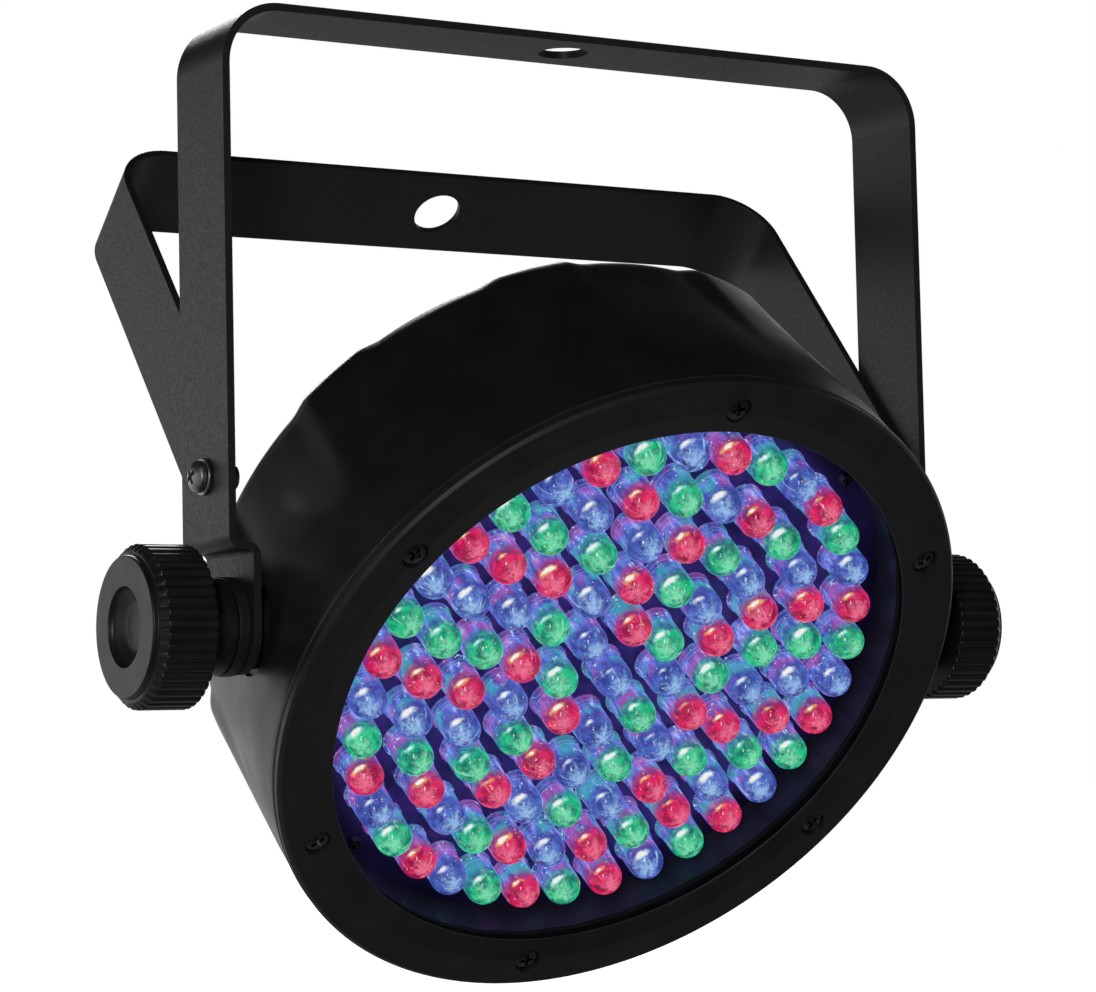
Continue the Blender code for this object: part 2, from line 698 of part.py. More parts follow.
# --- rear panel ---------------------------------------------------------------------
def rear_cover(can):
    low = COVER_BACK_Z
    high = low + COVER_T
    cover = plain_disc("rear_cover", COVER_R, low, high, 60, can, BLACK_PLASTIC)
    below = low - 2 * MM
    above = high + 2 * MM
    middle = (below + above) / 2
    deep = above - below
    cutters = []
    for k in range(4):
        x, y = polar(COVER_SCREW_R, 45 + 90 * k)
        cutters.append(rod("cover_screw_hole", 1.8 * MM, (x, y, below), (x, y, above), 10))
    width, height = DISPLAY_SIZE
    opening = (width + 2 * GAP, height + 2 * GAP, deep)
    cutters.append(box("display_hole", opening, (0, DISPLAY_Y, middle)))
    for k in range(len(BUTTONS)):
        x = (k - 1.5) * BUTTON_PITCH
        bottom = (x, BUTTON_Y, below)
        cutters.append(rod("button_hole", BUTTON_R + GAP, bottom, (x, BUTTON_Y, above), 12))
    for (x, y), (width, height) in ((INLET_AT, INLET_BODY), (SWITCH_AT, SWITCH_BODY)):
        opening = (width + 2 * GAP, height + 2 * GAP, deep)
        cutters.append(box("inlet_hole", opening, (x, y, middle)))
    for side in (-1, 1):
        x = side * SOCKET_X
        bottom = (x, SOCKET_Y, below)
        cutters.append(rod("socket_hole", SOCKET_R + GAP, bottom, (x, SOCKET_Y, above), 20))
    x, y = MICROPHONE_AT
    cutters.append(rod("microphone_hole", 1.5 * MM, (x, y, below), (x, y, above), 8))
    for k in range(6):
        y = -6 * MM - 4.5 * MM * k
        cutters.append(box("vent", (36 * MM, 2.0 * MM, deep), (0, y, middle)))
    for k in range(5):
        y = 61 * MM + 3.0 * MM * k
        cutters.append(box("top_vent", ((46 - 5 * k) * MM, 1.5 * MM, deep), (0, y, middle)))
    boolean(cover, gather("rear_cover_holes", cutters, can))
    for k in range(4):
        x, y = polar(COVER_SCREW_R, 45 + 90 * k)
        seat = empty(f"cover_screw_seat_{k + 1}", (x, y, low - GAP), (math.pi, 0, 0.6 * k), can)
        pan_screw(f"cover_screw_{k + 1}", 2.8 * MM, 1.8 * MM, 1.3 * MM, 8 * MM, seat, BLACK_STEEL, 8)
    return smooth(cover)


def panel_parts(can):
    """What shows on the rear panel: display, buttons, sockets, inlet and switch."""
    back = COVER_BACK_Z
    width, height = DISPLAY_SIZE
    glass_low = back + 0.4 * MM
    look = (*SMOKED, 0.6)
    box("display_window", (width, height, 2 * MM), (0, DISPLAY_Y, glass_low + 1 * MM), can, look)

    flange = BUTTON_PROUD + COVER_T + GAP
    for k, name in enumerate(BUTTONS):
        x = (k - 1.5) * BUTTON_PITCH
        key = [
            (0.0, KEY_LENGTH),
            (2.5 * MM, KEY_LENGTH),
            (BUTTON_R + 1.2 * MM, flange + 1.0 * MM),
            (BUTTON_R + 1.2 * MM, flange),
            (BUTTON_R, flange),
            (BUTTON_R, 0.0),
            (0.0, 0.0),
        ]
        seat = empty(name + "_guide", (x, BUTTON_Y, back - BUTTON_PROUD), (0, 0, 0), can)
        turned(name, key, 12, seat, NYLON)

    x, y = INLET_AT
    flange = flat_plate(
        "power_inlet", rounded_box(48 * MM, 27 * MM, 5 * MM, 3), 1.6 * MM,
        Matrix.Translation((x, y, back - GAP - 0.8 * MM)), can, NYLON,
    )
    width, height = INLET_BODY
    shell = box("inlet_body", (width, height, 20 * MM), (x, y, back + 9.2 * MM), can)
    boolean(flange, shell, "UNION")
    cavity = box("inlet_cavity", (24.4 * MM, 16.4 * MM, 17 * MM), (x, y, back + 5.6 * MM), can)
    boolean(flange, cavity)

    x, y = SWITCH_AT
    frame = flat_plate(
        "switch_frame", rounded_box(25 * MM, 19 * MM, 1.5 * MM, 2), 1.4 * MM,
        Matrix.Translation((x, y, back - GAP - 0.7 * MM)), can, NYLON,
    )
    width, height = SWITCH_BODY
    shell = box("switch_body", (width, height, 14 * MM), (x, y, back + 6.3 * MM), can)
    boolean(frame, shell, "UNION")
    well = box("switch_well", (18 * MM, 12 * MM, 12 * MM), (x, y, back + 3.0 * MM), can)
    boolean(frame, well)
    rocker_pivot = empty("rocker_pivot", (x, y, back + 2.5 * MM), (0, math.radians(7), 0), can)
    outline = [(-8.4 * MM, -4.2 * MM), (0.0, -2.6 * MM), (8.4 * MM, -4.2 * MM)]
    outline += arc((0.0, 0.0), 4.6 * MM, 30, 150, 5)
    stand = Matrix.Rotation(math.radians(90), 4, "X")
    flat_plate("power_switch", outline, 11.2 * MM, stand, rocker_pivot, RUBBER)

    for side, name in ((-1, "data_in_socket"), (1, "data_out_socket")):
        x = side * SOCKET_X
        plate = flat_plate(
            name, rounded_box(26 * MM, 31 * MM, 2.5 * MM, 3), 1.6 * MM,
            Matrix.Translation((x, SOCKET_Y, back - GAP - 0.8 * MM)), can, NYLON,
        )
        outer = (x, SOCKET_Y, back - 1 * MM)
        core = rod(name + "_core", SOCKET_R, outer, (x, SOCKET_Y, back + SOCKET_DEEP), 20, can)
        boolean(plate, core, "UNION")
        if side < 0:
            mouth = (x, SOCKET_Y, back - 3 * MM)
            floor = (x, SOCKET_Y, back + 13 * MM)
            boolean(plate, rod(name + "_mouth", 9.2 * MM, mouth, floor, 20, can))
        else:
            boolean(plate, socket_face(name, x, back, can))

    x, y = MICROPHONE_AT
    front = (x, y, back + COVER_T + GAP)
    rod("microphone", 4.5 * MM, front, (x, y, back + 8 * MM), 12, can, BRIGHT_STEEL)


def socket_face(name, x, back, can):
    """Cutter for the outlet: a ring groove round the core and three contact holes."""
    groove = disc(10.4 * MM, back - 3 * MM, back + 5 * MM, 8.2 * MM)
    pieces = [add_object("groove", turned_mesh(groove, 20))]
    pieces[0].data.transform(Matrix.Translation((x, SOCKET_Y, 0)))
    for degrees in (90, 210, 330):
        dx, dy = polar(4.6 * MM, degrees)
        at = (x + dx, SOCKET_Y + dy)
        pieces.append(rod("contact", 1.4 * MM, (*at, back - 3 * MM), (*at, back + 6 * MM), 8))
    return gather(name + "_face", pieces, can)


# --- knobs and pivots ---------------------------------------------------------------
def ribbed(mesh):
    """Press grooves into every second line of points round a turned skirt."""
    step = math.pi / KNOB_RIBS
    for vertex in mesh.vertices:
        x, y, z = vertex.co
        radius = math.hypot(x, y)
        line = round(math.atan2(y, x) / step)
        if radius > KNOB_R - 1.4 * MM and line % 2:
            scale = (radius - KNOB_RIB_DEPTH) / radius
            vertex.co = (x * scale, y * scale, z)
    return mesh


def knob(side, can):
    """A clamp knob, its stud, the washers and the threaded insert on one side."""
    word = "left" if side < 0 else "right"
    axis = empty("knob_axis_" + word, (0, 0, 0), (0, side * math.pi / 2, 0), can)
    skirt = [
        (0.0, KNOB_FACE),
        (17.6 * MM, KNOB_FACE),
        (KNOB_R, KNOB_FACE - 2.4 * MM),
        (KNOB_R, KNOB_SKIRT),
        (0.0, KNOB_SKIRT),
    ]
    grip = ribbed(turned_mesh(skirt, 2 * KNOB_RIBS))
    body = add_object("knob_" + word, grip, axis, BLACK_PLASTIC)
    top = KNOB_SKIRT + 2 * MM
    neck = turned("knob_neck_" + word, disc(KNOB_NECK_R, KNOB_NECK, top), 16, axis)
    boolean(body, neck, "UNION")
    floor = KNOB_FACE - KNOB_RECESS_DEPTH
    hollow = [
        (0.0, KNOB_FACE + 1 * MM),
        (KNOB_RECESS_R, KNOB_FACE + 1 * MM),
        (KNOB_RECESS_R - 0.7 * MM, floor),
        (0.0, floor),
    ]
    boolean(body, turned("knob_recess_" + word, hollow, 20, axis))
    stud_end = KNOB_SKIRT + 3 * MM
    socket = disc(STUD_R + GAP, KNOB_NECK - 2 * MM, stud_end + GAP)
    boolean(body, turned("knob_socket_" + word, socket, 12, axis))
    smooth(body, 30)

    turned("knob_stud_" + word, disc(STUD_R, 84 * MM, stud_end), 12, axis, BRIGHT_STEEL)
    ear_out = EAR_HALF + GAP
    collar = disc(12.4 * MM, ear_out, KNOB_NECK - GAP, STUD_HOLE_R)
    turned("knob_washer_" + word, collar, 20, axis, NYLON)
    ear_in = EAR_HALF - STRAP_T - GAP
    pad = disc(11.5 * MM, SIDE_FLAT + GAP, ear_in, STUD_HOLE_R)
    turned("friction_washer_" + word, pad, 20, axis, RUBBER)
    insert = disc(INSERT_R, 82.5 * MM, SIDE_FLAT - 0.2 * MM, STUD_R + GAP)
    turned("thread_insert_" + word, insert, 12, axis, BRASS)


def pivot_fasteners(side, pivot):
    """The screw, washer and lock nut that hold a leg of the rear bracket."""
    word = "left" if side < 0 else "right"
    turn = (0, side * math.pi / 2, 0)
    axis = empty("pivot_axis_" + word, (0, 0, 0), turn, pivot)
    washer_in = FRONT_HALF + GAP
    washer_out = washer_in + 0.8 * MM
    washer = disc(PIVOT_WASHER_R, washer_in, washer_out, PIVOT_HOLE_R)
    turned("pivot_washer_" + word, washer, 12, axis, BRIGHT_STEEL)
    seat = empty("pivot_screw_seat_" + word, (0, 0, washer_out + GAP), (0, 0, 0.7), axis)
    length = washer_out + GAP - PIVOT_SCREW_END
    pan_screw("pivot_screw_" + word, 4.0 * MM, 2.6 * MM, 1.95 * MM, length, seat, BRIGHT_STEEL)
    nut_out = REAR_HALF - STRAP_T - GAP
    nut("lock_nut_" + word, 7.0 * MM, PIVOT_HOLE_R, nut_out - 3.6 * MM, nut_out, axis, BRIGHT_STEEL)


def build():
    front_bracket()
    rear_pivot = empty("rear_pivot", (0, 0, -YOKE_DROP + PIVOT_RISE), (-REAR_LEAN, 0, 0))
    rear_bracket(rear_pivot)
    can = empty("can_frame", (0, 0, -YOKE_DROP), (math.pi / 2 + TILT, 0, 0))
    can_body(can)
    bezel_ring(can)
    bezel_screws(can)
    window_and_seal(can)
    led_board(can)
    inner_boards(can)
    rear_cover(can)
    panel_parts(can)
    fixed_pivot = empty("fixed_pivot", (0, 0, -YOKE_DROP + PIVOT_RISE))
    for side in (-1, 1):
        knob(side, can)
        pivot_fasteners(side, fixed_pivot)


build()
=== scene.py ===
"""Looks of the par can light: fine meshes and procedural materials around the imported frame.

Units are metres and the frame is the CAD model's. Can space is the lamp's own frame: +Z out of
its front, +X the row's and +Y the lamp's top. Knob space has +Z outwards along the knob axis.
"""
import json
import math
import random

import bmesh
import bpy
from mathutils import Matrix, Vector


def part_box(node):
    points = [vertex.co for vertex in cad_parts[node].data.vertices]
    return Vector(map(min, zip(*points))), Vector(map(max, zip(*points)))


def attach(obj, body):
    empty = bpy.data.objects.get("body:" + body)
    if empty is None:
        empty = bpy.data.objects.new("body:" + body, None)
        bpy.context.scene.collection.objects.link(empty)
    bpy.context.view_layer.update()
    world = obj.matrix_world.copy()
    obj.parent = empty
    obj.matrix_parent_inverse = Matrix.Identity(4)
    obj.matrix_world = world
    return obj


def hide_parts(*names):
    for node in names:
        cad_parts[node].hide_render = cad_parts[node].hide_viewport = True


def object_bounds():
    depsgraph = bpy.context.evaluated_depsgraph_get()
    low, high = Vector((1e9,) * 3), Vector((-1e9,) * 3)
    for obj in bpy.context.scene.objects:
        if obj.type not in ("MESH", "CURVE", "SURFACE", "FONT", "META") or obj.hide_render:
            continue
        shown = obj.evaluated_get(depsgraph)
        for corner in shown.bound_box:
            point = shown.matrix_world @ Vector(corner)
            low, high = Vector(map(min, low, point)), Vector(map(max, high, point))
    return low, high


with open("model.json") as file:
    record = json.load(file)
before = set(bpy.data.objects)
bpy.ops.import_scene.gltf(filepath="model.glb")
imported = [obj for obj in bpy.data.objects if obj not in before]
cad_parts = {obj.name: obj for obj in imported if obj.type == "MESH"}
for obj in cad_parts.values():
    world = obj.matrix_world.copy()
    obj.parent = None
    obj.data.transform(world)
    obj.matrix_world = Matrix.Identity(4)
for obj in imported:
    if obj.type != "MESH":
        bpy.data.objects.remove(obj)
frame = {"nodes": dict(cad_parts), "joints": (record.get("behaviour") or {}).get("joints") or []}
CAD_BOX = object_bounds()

MM = 0.001


# --- places taken from the frame ---
def joint(name):
    return next(j for j in frame["joints"] if j["name"] == name)


def extents(node, place):
    """Lowest and highest Z of a CAD node in a local frame, and its largest radius there."""
    back = place.inverted()
    points = [back @ v.co for v in frame["nodes"][node].data.vertices]
    heights = [p.z for p in points]
    return min(heights), max(heights), max(math.hypot(p.x, p.y) for p in points)


KNOB_AXIS = Vector(joint("tilt")["pos_m"])
REAR_PIVOT = Vector(joint("rear_bracket_swing")["pos_m"])
FACING = Vector(joint("press_menu")["axis"]).normalized()
LAMP_TOP = Vector(joint("mains_switch")["axis"]).normalized()
CAN = Matrix.Translation(KNOB_AXIS) @ Matrix((Vector((1, 0, 0)), LAMP_TOP, FACING)).transposed().to_4x4()


def knob_space(side):
    return Matrix.Translation(KNOB_AXIS) @ Matrix.Rotation(side * math.pi / 2, 4, "Y")


BEZEL_BACK_Z, FACE_Z, CAN_R = extents("bezel_ring", CAN)
REAR_Z, DRUM_RIM_Z, DRUM_R = extents("can_body", CAN)
WINDOW_BACK_Z, WINDOW_FRONT_Z, WINDOW_R = extents("front_window", CAN)
BOARD_TOP_Z = extents("led_board", CAN)[1]
COVER_BACK_Z, COVER_FRONT_Z, COVER_R = extents("rear_cover", CAN)
KNOB_NECK, KNOB_FACE, KNOB_R = extents("knob_right", knob_space(1))
WASHER_IN, WASHER_OUT, WASHER_R = extents("knob_washer_right", knob_space(1))
FRONT_LOW, FRONT_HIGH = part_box("front_bracket")

# --- driving dimensions that the frame doesn't give ---
STRAP_T = 2.0 * MM
STRAP_W = FRONT_HIGH.y - FRONT_LOW.y
STRAP_BEND = 15.0 * MM
FRONT_HALF = FRONT_HIGH.x
EAR_HALF = 100.1 * MM
JOGGLE_RISE = 19.5 * MM
JOGGLE_BEND = 2.6 * MM
EAR_CORNER = 11.0 * MM
REAR_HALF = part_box("rear_bracket")[1].x
REAR_LEG = 111.3 * MM
REAR_LEAN = math.radians(40.4)
REAR_FOOT = 6.5 * MM  # end of the rear bracket's leg beyond its pivot
REAR_FOOT_HALF = 5.2 * MM
REAR_FOOT_RISE = 3.0 * MM  # its chamfers start this far above the pivot
CLAMP_HOLE_R = 6.75 * MM
STUD_HOLE_R = 4.5 * MM
PIVOT_HOLE_R = 2.3 * MM
BESIDE = 120.0 * MM  # past the brackets on either side
EDGE = 0.3 * MM  # rounding of cut and moulded edges

OPENING_R = 81.0 * MM
CAN_REAR_R = 94.4 * MM
SHOULDER_R = 8.0 * MM
FLUTES = 10
FLUTE_DEPTH = 1.6 * MM
FLUTE_LAND = math.radians(5.0)  # half the angle of a land between two flutes
FLUTE_SLOPE = math.radians(4.5)  # angle over which a land falls to the flute's floor
FLUTE_FRONT_Z = 18.0 * MM
FLUTE_REAR_Z = -28.0 * MM
FLUTE_INNER_R = 83.0 * MM
SCREW_CIRCLE_R = 87.75 * MM
BEZEL_SCREWS = 6
SIDE_FLAT = 93.5 * MM  # depth of the flat round a knob's stud, from the lamp's middle
SIDE_FLAT_R = 12.4 * MM
INSERT_HOLE_R = 8.4 * MM

LED_R = 5.0 * MM
LED_DOME = 8.6 * MM  # height of the dome's centre above the board
# LEDs in rings: ring radius, angle of the first in degrees, colours in order
LED_RINGS = [
    (70.0 * MM, 9.8, "GRB" * 8 + "GR" + "GRB" * 3),
    (56.2 * MM, 12.4, "GRB" * 6 + "GRBRGRBGRB"),
    (42.8 * MM, 12.8, "GRB" * 5 + "GBRGRB"),
    (29.7 * MM, 2.0, "GRB" * 4 + "GBR"),
    (16.4 * MM, 0.0, "BGRBGRBG"),
    (0.0, 0.0, "B"),
]

COVER_SCREW_R = 76.6 * MM
DISPLAY_SIZE = (40.0 * MM, 17.0 * MM)
DISPLAY_Y = 45.0 * MM
BUTTONS = ["menu", "down", "up", "enter"]
BUTTON_Y = 24.0 * MM
BUTTON_PITCH = 17.0 * MM
BUTTON_R = 4.0 * MM
BUTTON_PROUD = 1.4 * MM
INLET_AT = (-24.0 * MM, -46.0 * MM)
INLET_BODY = (30.0 * MM, 23.0 * MM)
SWITCH_AT = (27.0 * MM, -46.0 * MM)
SWITCH_BODY = (21.0 * MM, 15.0 * MM)
SOCKET_X = 47.0 * MM
SOCKET_Y = -8.0 * MM
SOCKET_R = 11.8 * MM
MICROPHONE_AT = (0.0, 4.0 * MM)
MARK = 0.08 * MM  # half the height of a printed mark
GAP = 0.3 * MM  # clearance between neighbouring pieces

KNOB_RIBS = 44
KNOB_RIB_DEPTH = 0.75 * MM
KNOB_SKIRT = 112.4 * MM
KNOB_NECK_R = 12.0 * MM
KNOB_RECESS_R = 9.9 * MM
KNOB_RECESS_DEPTH = 3.4 * MM

ROUND = 192  # steps round a large turned piece
FINE = 48  # steps round a small one


# --- materials ---
class Nodes:
    """Short calls that add nodes to a tree. A value is a number, a colour or another node's output."""

    def __init__(self, tree):
        self.tree = tree
        self.place = self.node("TexCoord").outputs["Object"]

    def link(self, source, target):
        self.tree.links.new(source, target)

    def node(self, kind, **settings):
        made = self.tree.nodes.new("ShaderNode" + kind)
        for key, value in settings.items():
            setattr(made, key, value)
        return made

    def put(self, sockets, values):
        """Fill sockets from other nodes' outputs or from plain values."""
        for socket, value in zip(sockets, values):
            if isinstance(value, bpy.types.NodeSocket):
                self.link(value, socket)
            elif socket.type == "RGBA":
                socket.default_value = (*value, 1.0)
            else:
                socket.default_value = value

    def math(self, operation, a, b=0.0):
        made = self.node("Math", operation=operation)
        self.put(made.inputs, (a, b))
        return made.outputs[0]

    def times(self, a, b):
        return self.math("MULTIPLY", a, b)

    def plus(self, a, b):
        return self.math("ADD", a, b)

    def vector(self, operation, a, b=(0.0, 0.0, 0.0)):
        made = self.node("VectorMath", operation=operation)
        self.put(made.inputs, (a, b))
        return made.outputs["Value" if operation == "LENGTH" else "Vector"]

    def joined(self, x, y, z):
        made = self.node("CombineXYZ")
        self.put(made.inputs, (x, y, z))
        return made.outputs[0]

    def split(self, vector):
        made = self.node("SeparateXYZ")
        self.link(vector, made.inputs[0])
        return made.outputs

    def between(self, value, low, high, start=0.0, end=1.0):
        """A smooth step of value from low to high."""
        made = self.node("MapRange", interpolation_type="SMOOTHSTEP")
        self.put(made.inputs, (value, low, high, start, end))
        return made.outputs["Result"]

    def mix(self, factor, a, b):
        """A mix of two colours."""
        made = self.node("Mix", data_type="RGBA")
        self.put((made.inputs[0], made.inputs[6], made.inputs[7]), (factor, a, b))
        return made.outputs[2]

    def noise(self, size, detail=3.0, where=None):
        """Noise whose lumps are about this size."""
        made = self.node("TexNoise")
        self.link(where or self.place, made.inputs["Vector"])
        made.inputs["Scale"].default_value = 1.0 / size
        made.inputs["Detail"].default_value = detail
        return made.outputs["Fac"]

    def cells(self, feature, size, where=None):
        """A cell pattern whose cells are about this size."""
        made = self.node("TexVoronoi", feature=feature)
        self.link(where or self.place, made.inputs["Vector"])
        made.inputs["Scale"].default_value = 1.0 / size
        return made.outputs

    def bump(self, height, depth, strength=1.0, before=None):
        made = self.node("Bump")
        made.inputs["Distance"].default_value = depth
        made.inputs["Strength"].default_value = strength
        self.link(height, made.inputs["Height"])
        if before is not None:
            self.link(before, made.inputs["Normal"])
        return made.outputs["Normal"]


class Finish(Nodes):
    """One procedural material on a Principled shader."""

    def __init__(self, name, **values):
        self.material = bpy.data.materials.new(name)
        self.material.use_nodes = True
        super().__init__(self.material.node_tree)
        self.shader = self.tree.nodes["Principled BSDF"]
        for socket, value in values.items():
            self.feed(socket.replace("_", " ").title().replace("Ior", "IOR"), value)

    def feed(self, socket, value):
        self.put([self.shader.inputs[socket]], [value])


def grained(name, colour, roughness, grain, depth, spread=0.08, specular=0.5):
    """Moulded or coated surface: fine grain in the relief, slow drift in gloss and colour."""
    look = Finish(name, base_color=colour, roughness=roughness, specular_ior_level=specular)
    fine = look.noise(grain, 2.0)
    wide = look.noise(14 * MM, 4.0)
    lighter = tuple(c * 1.35 for c in colour)
    look.feed("Base Color", look.mix(look.between(wide, 0.35, 0.7), colour, lighter))
    look.feed("Roughness", look.between(wide, 0.3, 0.7, roughness - spread / 2, roughness + spread / 2))
    look.feed("Normal", look.bump(fine, depth))
    return look.material


def powder_coat():
    """Black powder coat: orange-peel relief with a fine sparkle in it."""
    colour = (0.024, 0.024, 0.0245)
    look = Finish("powder_coat", base_color=colour, roughness=0.42)
    peel = look.noise(0.9 * MM, 3.0)
    grit = look.noise(0.25 * MM, 1.0)
    wide = look.noise(30 * MM, 4.0)
    flecks = look.between(grit, 0.66, 0.78)
    dull = look.mix(look.between(wide, 0.3, 0.7), colour, (0.031, 0.031, 0.0315))
    look.feed("Base Color", look.mix(flecks, dull, (0.10, 0.10, 0.10)))
    look.feed("Roughness", look.between(peel, 0.3, 0.7, 0.36, 0.48))
    look.feed("Normal", look.bump(grit, 0.02 * MM, 0.6, look.bump(peel, 0.05 * MM)))
    return look.material


def metal(name, colour, roughness, grain=0.5 * MM):
    look = Finish(name, base_color=colour, roughness=roughness, metallic=1.0)
    stained = look.between(look.noise(3 * MM, 4.0), 0.35, 0.7)
    look.feed("Base Color", look.mix(stained, colour, tuple(c * 0.72 for c in colour)))
    look.feed("Roughness", look.between(look.noise(grain, 2.0), 0.3, 0.7, roughness - 0.08, roughness + 0.1))
    look.feed("Normal", look.bump(look.noise(grain, 2.0), 0.01 * MM))
    return look.material


def circuit_board(name, mask, trace):
    """Solder mask with slightly raised traces under it."""
    look = Finish(name, base_color=mask, roughness=0.28)
    edge = look.between(look.cells("DISTANCE_TO_EDGE", 6 * MM)["Distance"], 0.05, 0.09, 1.0, 0.0)
    look.feed("Base Color", look.mix(edge, mask, trace))
    look.feed("Normal", look.bump(edge, 0.03 * MM))
    return look.material


def clear_sheet():
    """Water-clear sheet: nothing but a faint gloss."""
    return Finish("clear_sheet", base_color=(0.02, 0.02, 0.025), roughness=0.02, alpha=0.07).material


def smoked_sheet():
    look = Finish("smoked_sheet", base_color=(0.012, 0.006, 0.006), roughness=0.06)
    look.feed("Roughness", look.between(look.noise(9 * MM, 3.0), 0.35, 0.7, 0.04, 0.12))
    return look.material


def lit_lens(name, deep, bright, star, painted_highlight):
    """A lit LED: a glowing dome with facets and a star in it, on a streaky violet stem, with painted
    highlights, painted reflections of the other LEDs and painted shade at its foot.

    The mesh carries led_local, the place in the LED in units of its radius, and led_seed.
    """
    look = Finish(name, base_color=(0.01, 0.01, 0.03), roughness=0.04, emission_strength=1.0)
    between, mix, times, plus = look.between, look.mix, look.times, look.plus
    local = look.node("Attribute", attribute_name="led_local").outputs["Vector"]
    seed = look.node("Attribute", attribute_name="led_seed").outputs["Fac"]
    x, y, height = look.split(local)
    angle = look.math("ARCTAN2", y, x)
    own = times(seed, 50.0)
    cloud = look.noise(1.5 * MM, 3.0)
    drift = look.noise(7 * MM, 2.0)
    ripple = look.noise(0.7 * MM, 2.0)

    # the stem: streaks along it, painted tints of the light thrown by its neighbours, pale rings, a dark
    # foot of painted shade and painted glints
    streak_at = look.joined(times(angle, 2.6), times(height, 0.9), own)
    streak = look.noise(1.0, 3.0, streak_at)
    stem = mix(between(streak, 0.34, 0.70), (0.05, 0.08, 0.40), (0.19, 0.28, 0.96))
    stem = mix(between(streak, 0.60, 0.72), stem, (0.50, 0.55, 1.0))
    # painted light thrown by the neighbouring LEDs: pink and teal tints
    stem = mix(between(drift, 0.52, 0.62, 0.0, 0.45), stem, (0.62, 0.06, 0.42))
    stem = mix(between(drift, 0.48, 0.38, 0.0, 0.62), stem, (0.04, 0.48, 0.50))
    stem = mix(times(between(height, 1.0, 1.7), 0.45), stem, deep)
    wave = look.math("SINE", plus(times(height, 26.0), times(cloud, 5.0)))
    ring = times(between(wave, 0.72, 0.95), between(height, 0.95, 0.55))
    stem = mix(times(ring, 0.55), stem, (0.50, 0.46, 0.95))
    # painted shade: darker towards the foot, between the stems
    stem = mix(between(height, 0.8, 0.1, 0.0, 0.45), stem, (0.012, 0.006, 0.09))
    # painted glints along the streaks
    glint_at = look.vector("MULTIPLY", streak_at, (1.6, 3.2, 1.7))
    glint = between(look.noise(1.0, 2.0, glint_at), 0.64, 0.71)
    stem = mix(times(glint, 0.75), stem, (0.62, 0.80, 1.0))

    # the dome: dark and bright facets, and a ragged five-armed star near its tip
    facet_at = look.joined(times(angle, 1.1), times(height, 1.6), own)
    facet = plus(times(look.cells("SMOOTH_F1", 1 / 1.3, facet_at)["Distance"], 0.8), cloud)
    dome = mix(between(facet, 0.55, 1.15), bright, deep)
    star_x = plus(x, between(seed, 0.0, 1.0, 0.42, -0.02))
    star_y = plus(y, between(cloud, 0.3, 0.7, -0.02, -0.34))
    turn = plus(times(look.math("ARCTAN2", star_y, star_x), 5.0), times(seed, 40.0))
    arms = times(look.math("COSINE", turn), 0.10)
    from_centre = look.math("SQRT", plus(times(star_x, star_x), times(star_y, star_y)))
    inside = look.math("SUBTRACT", plus(arms, times(ripple, 0.9)), from_centre)
    dome = mix(between(inside, -0.30, 0.50, 0.0, 0.85), dome, star)
    # painted glints: thin bright strokes in the star's colour
    dome = mix(times(between(streak, 0.62, 0.70), 0.8), dome, star)
    rim = times(between(height, 2.15, 1.75), between(cloud, 0.3, 0.6))
    dome = mix(times(rim, 0.6), dome, (0.05, 0.05, 0.34))
    light = mix(between(height, 1.2, 1.9), stem, dome)

    # a painted highlight on the dome's shoulder, white-hot in its middle
    away = look.vector("SUBTRACT", local, (-0.68, 0.66, 1.95))
    reach = look.vector("LENGTH", look.vector("MULTIPLY", away, (1.0, 1.0, 2.4)))
    spread = plus(reach, plus(times(cloud, 0.6), times(seed, 0.30)))
    light = mix(between(spread, 0.95, 0.62, 0.0, 0.8), light, painted_highlight)
    light = mix(between(spread, 0.68, 0.58), light, (1.0, 0.97, 0.93))

    # painted reflections of the other LEDs: small vivid dots of their colours
    cells = look.cells("F1", 1.5 * MM)
    neighbour_reflection = look.node("HueSaturation")
    look.link(cells["Color"], neighbour_reflection.inputs["Color"])
    neighbour_reflection.inputs["Saturation"].default_value = 1.8
    neighbour_reflection.inputs["Value"].default_value = 1.6
    dot = times(between(cells["Distance"], 0.17, 0.07), 0.7)
    look.feed("Emission Color", mix(dot, light, neighbour_reflection.outputs["Color"]))
    return look.material


def board_with_painted_glow():
    """The LED board: black solder mask with the lenses' blue light painted on it as a glow, which fades
    beyond the outer ring.
    """
    look = Finish("board_black", base_color=(0.004, 0.004, 0.012), roughness=0.3, emission_strength=1.0)
    offset = look.vector("SUBTRACT", look.place, KNOB_AXIS)
    away = look.vector("LENGTH", look.vector("CROSS_PRODUCT", offset, FACING))
    ring = LED_RINGS[0][0] + LED_R
    wide = look.between(look.noise(24 * MM, 2.0), 0.3, 0.7)
    close = look.between(look.noise(9 * MM, 2.0), 0.3, 0.7)
    # painted light from the LEDs: dim beyond the outer ring, brighter within it
    outer = look.mix(wide, (0.0014, 0.0008, 0.008), (0.006, 0.003, 0.028))
    inner = look.mix(close, (0.006, 0.003, 0.05), (0.022, 0.010, 0.13))
    near = look.between(away, ring + 4 * MM, ring - 5 * MM)
    look.feed("Emission Color", look.mix(near, outer, inner))
    return look.material


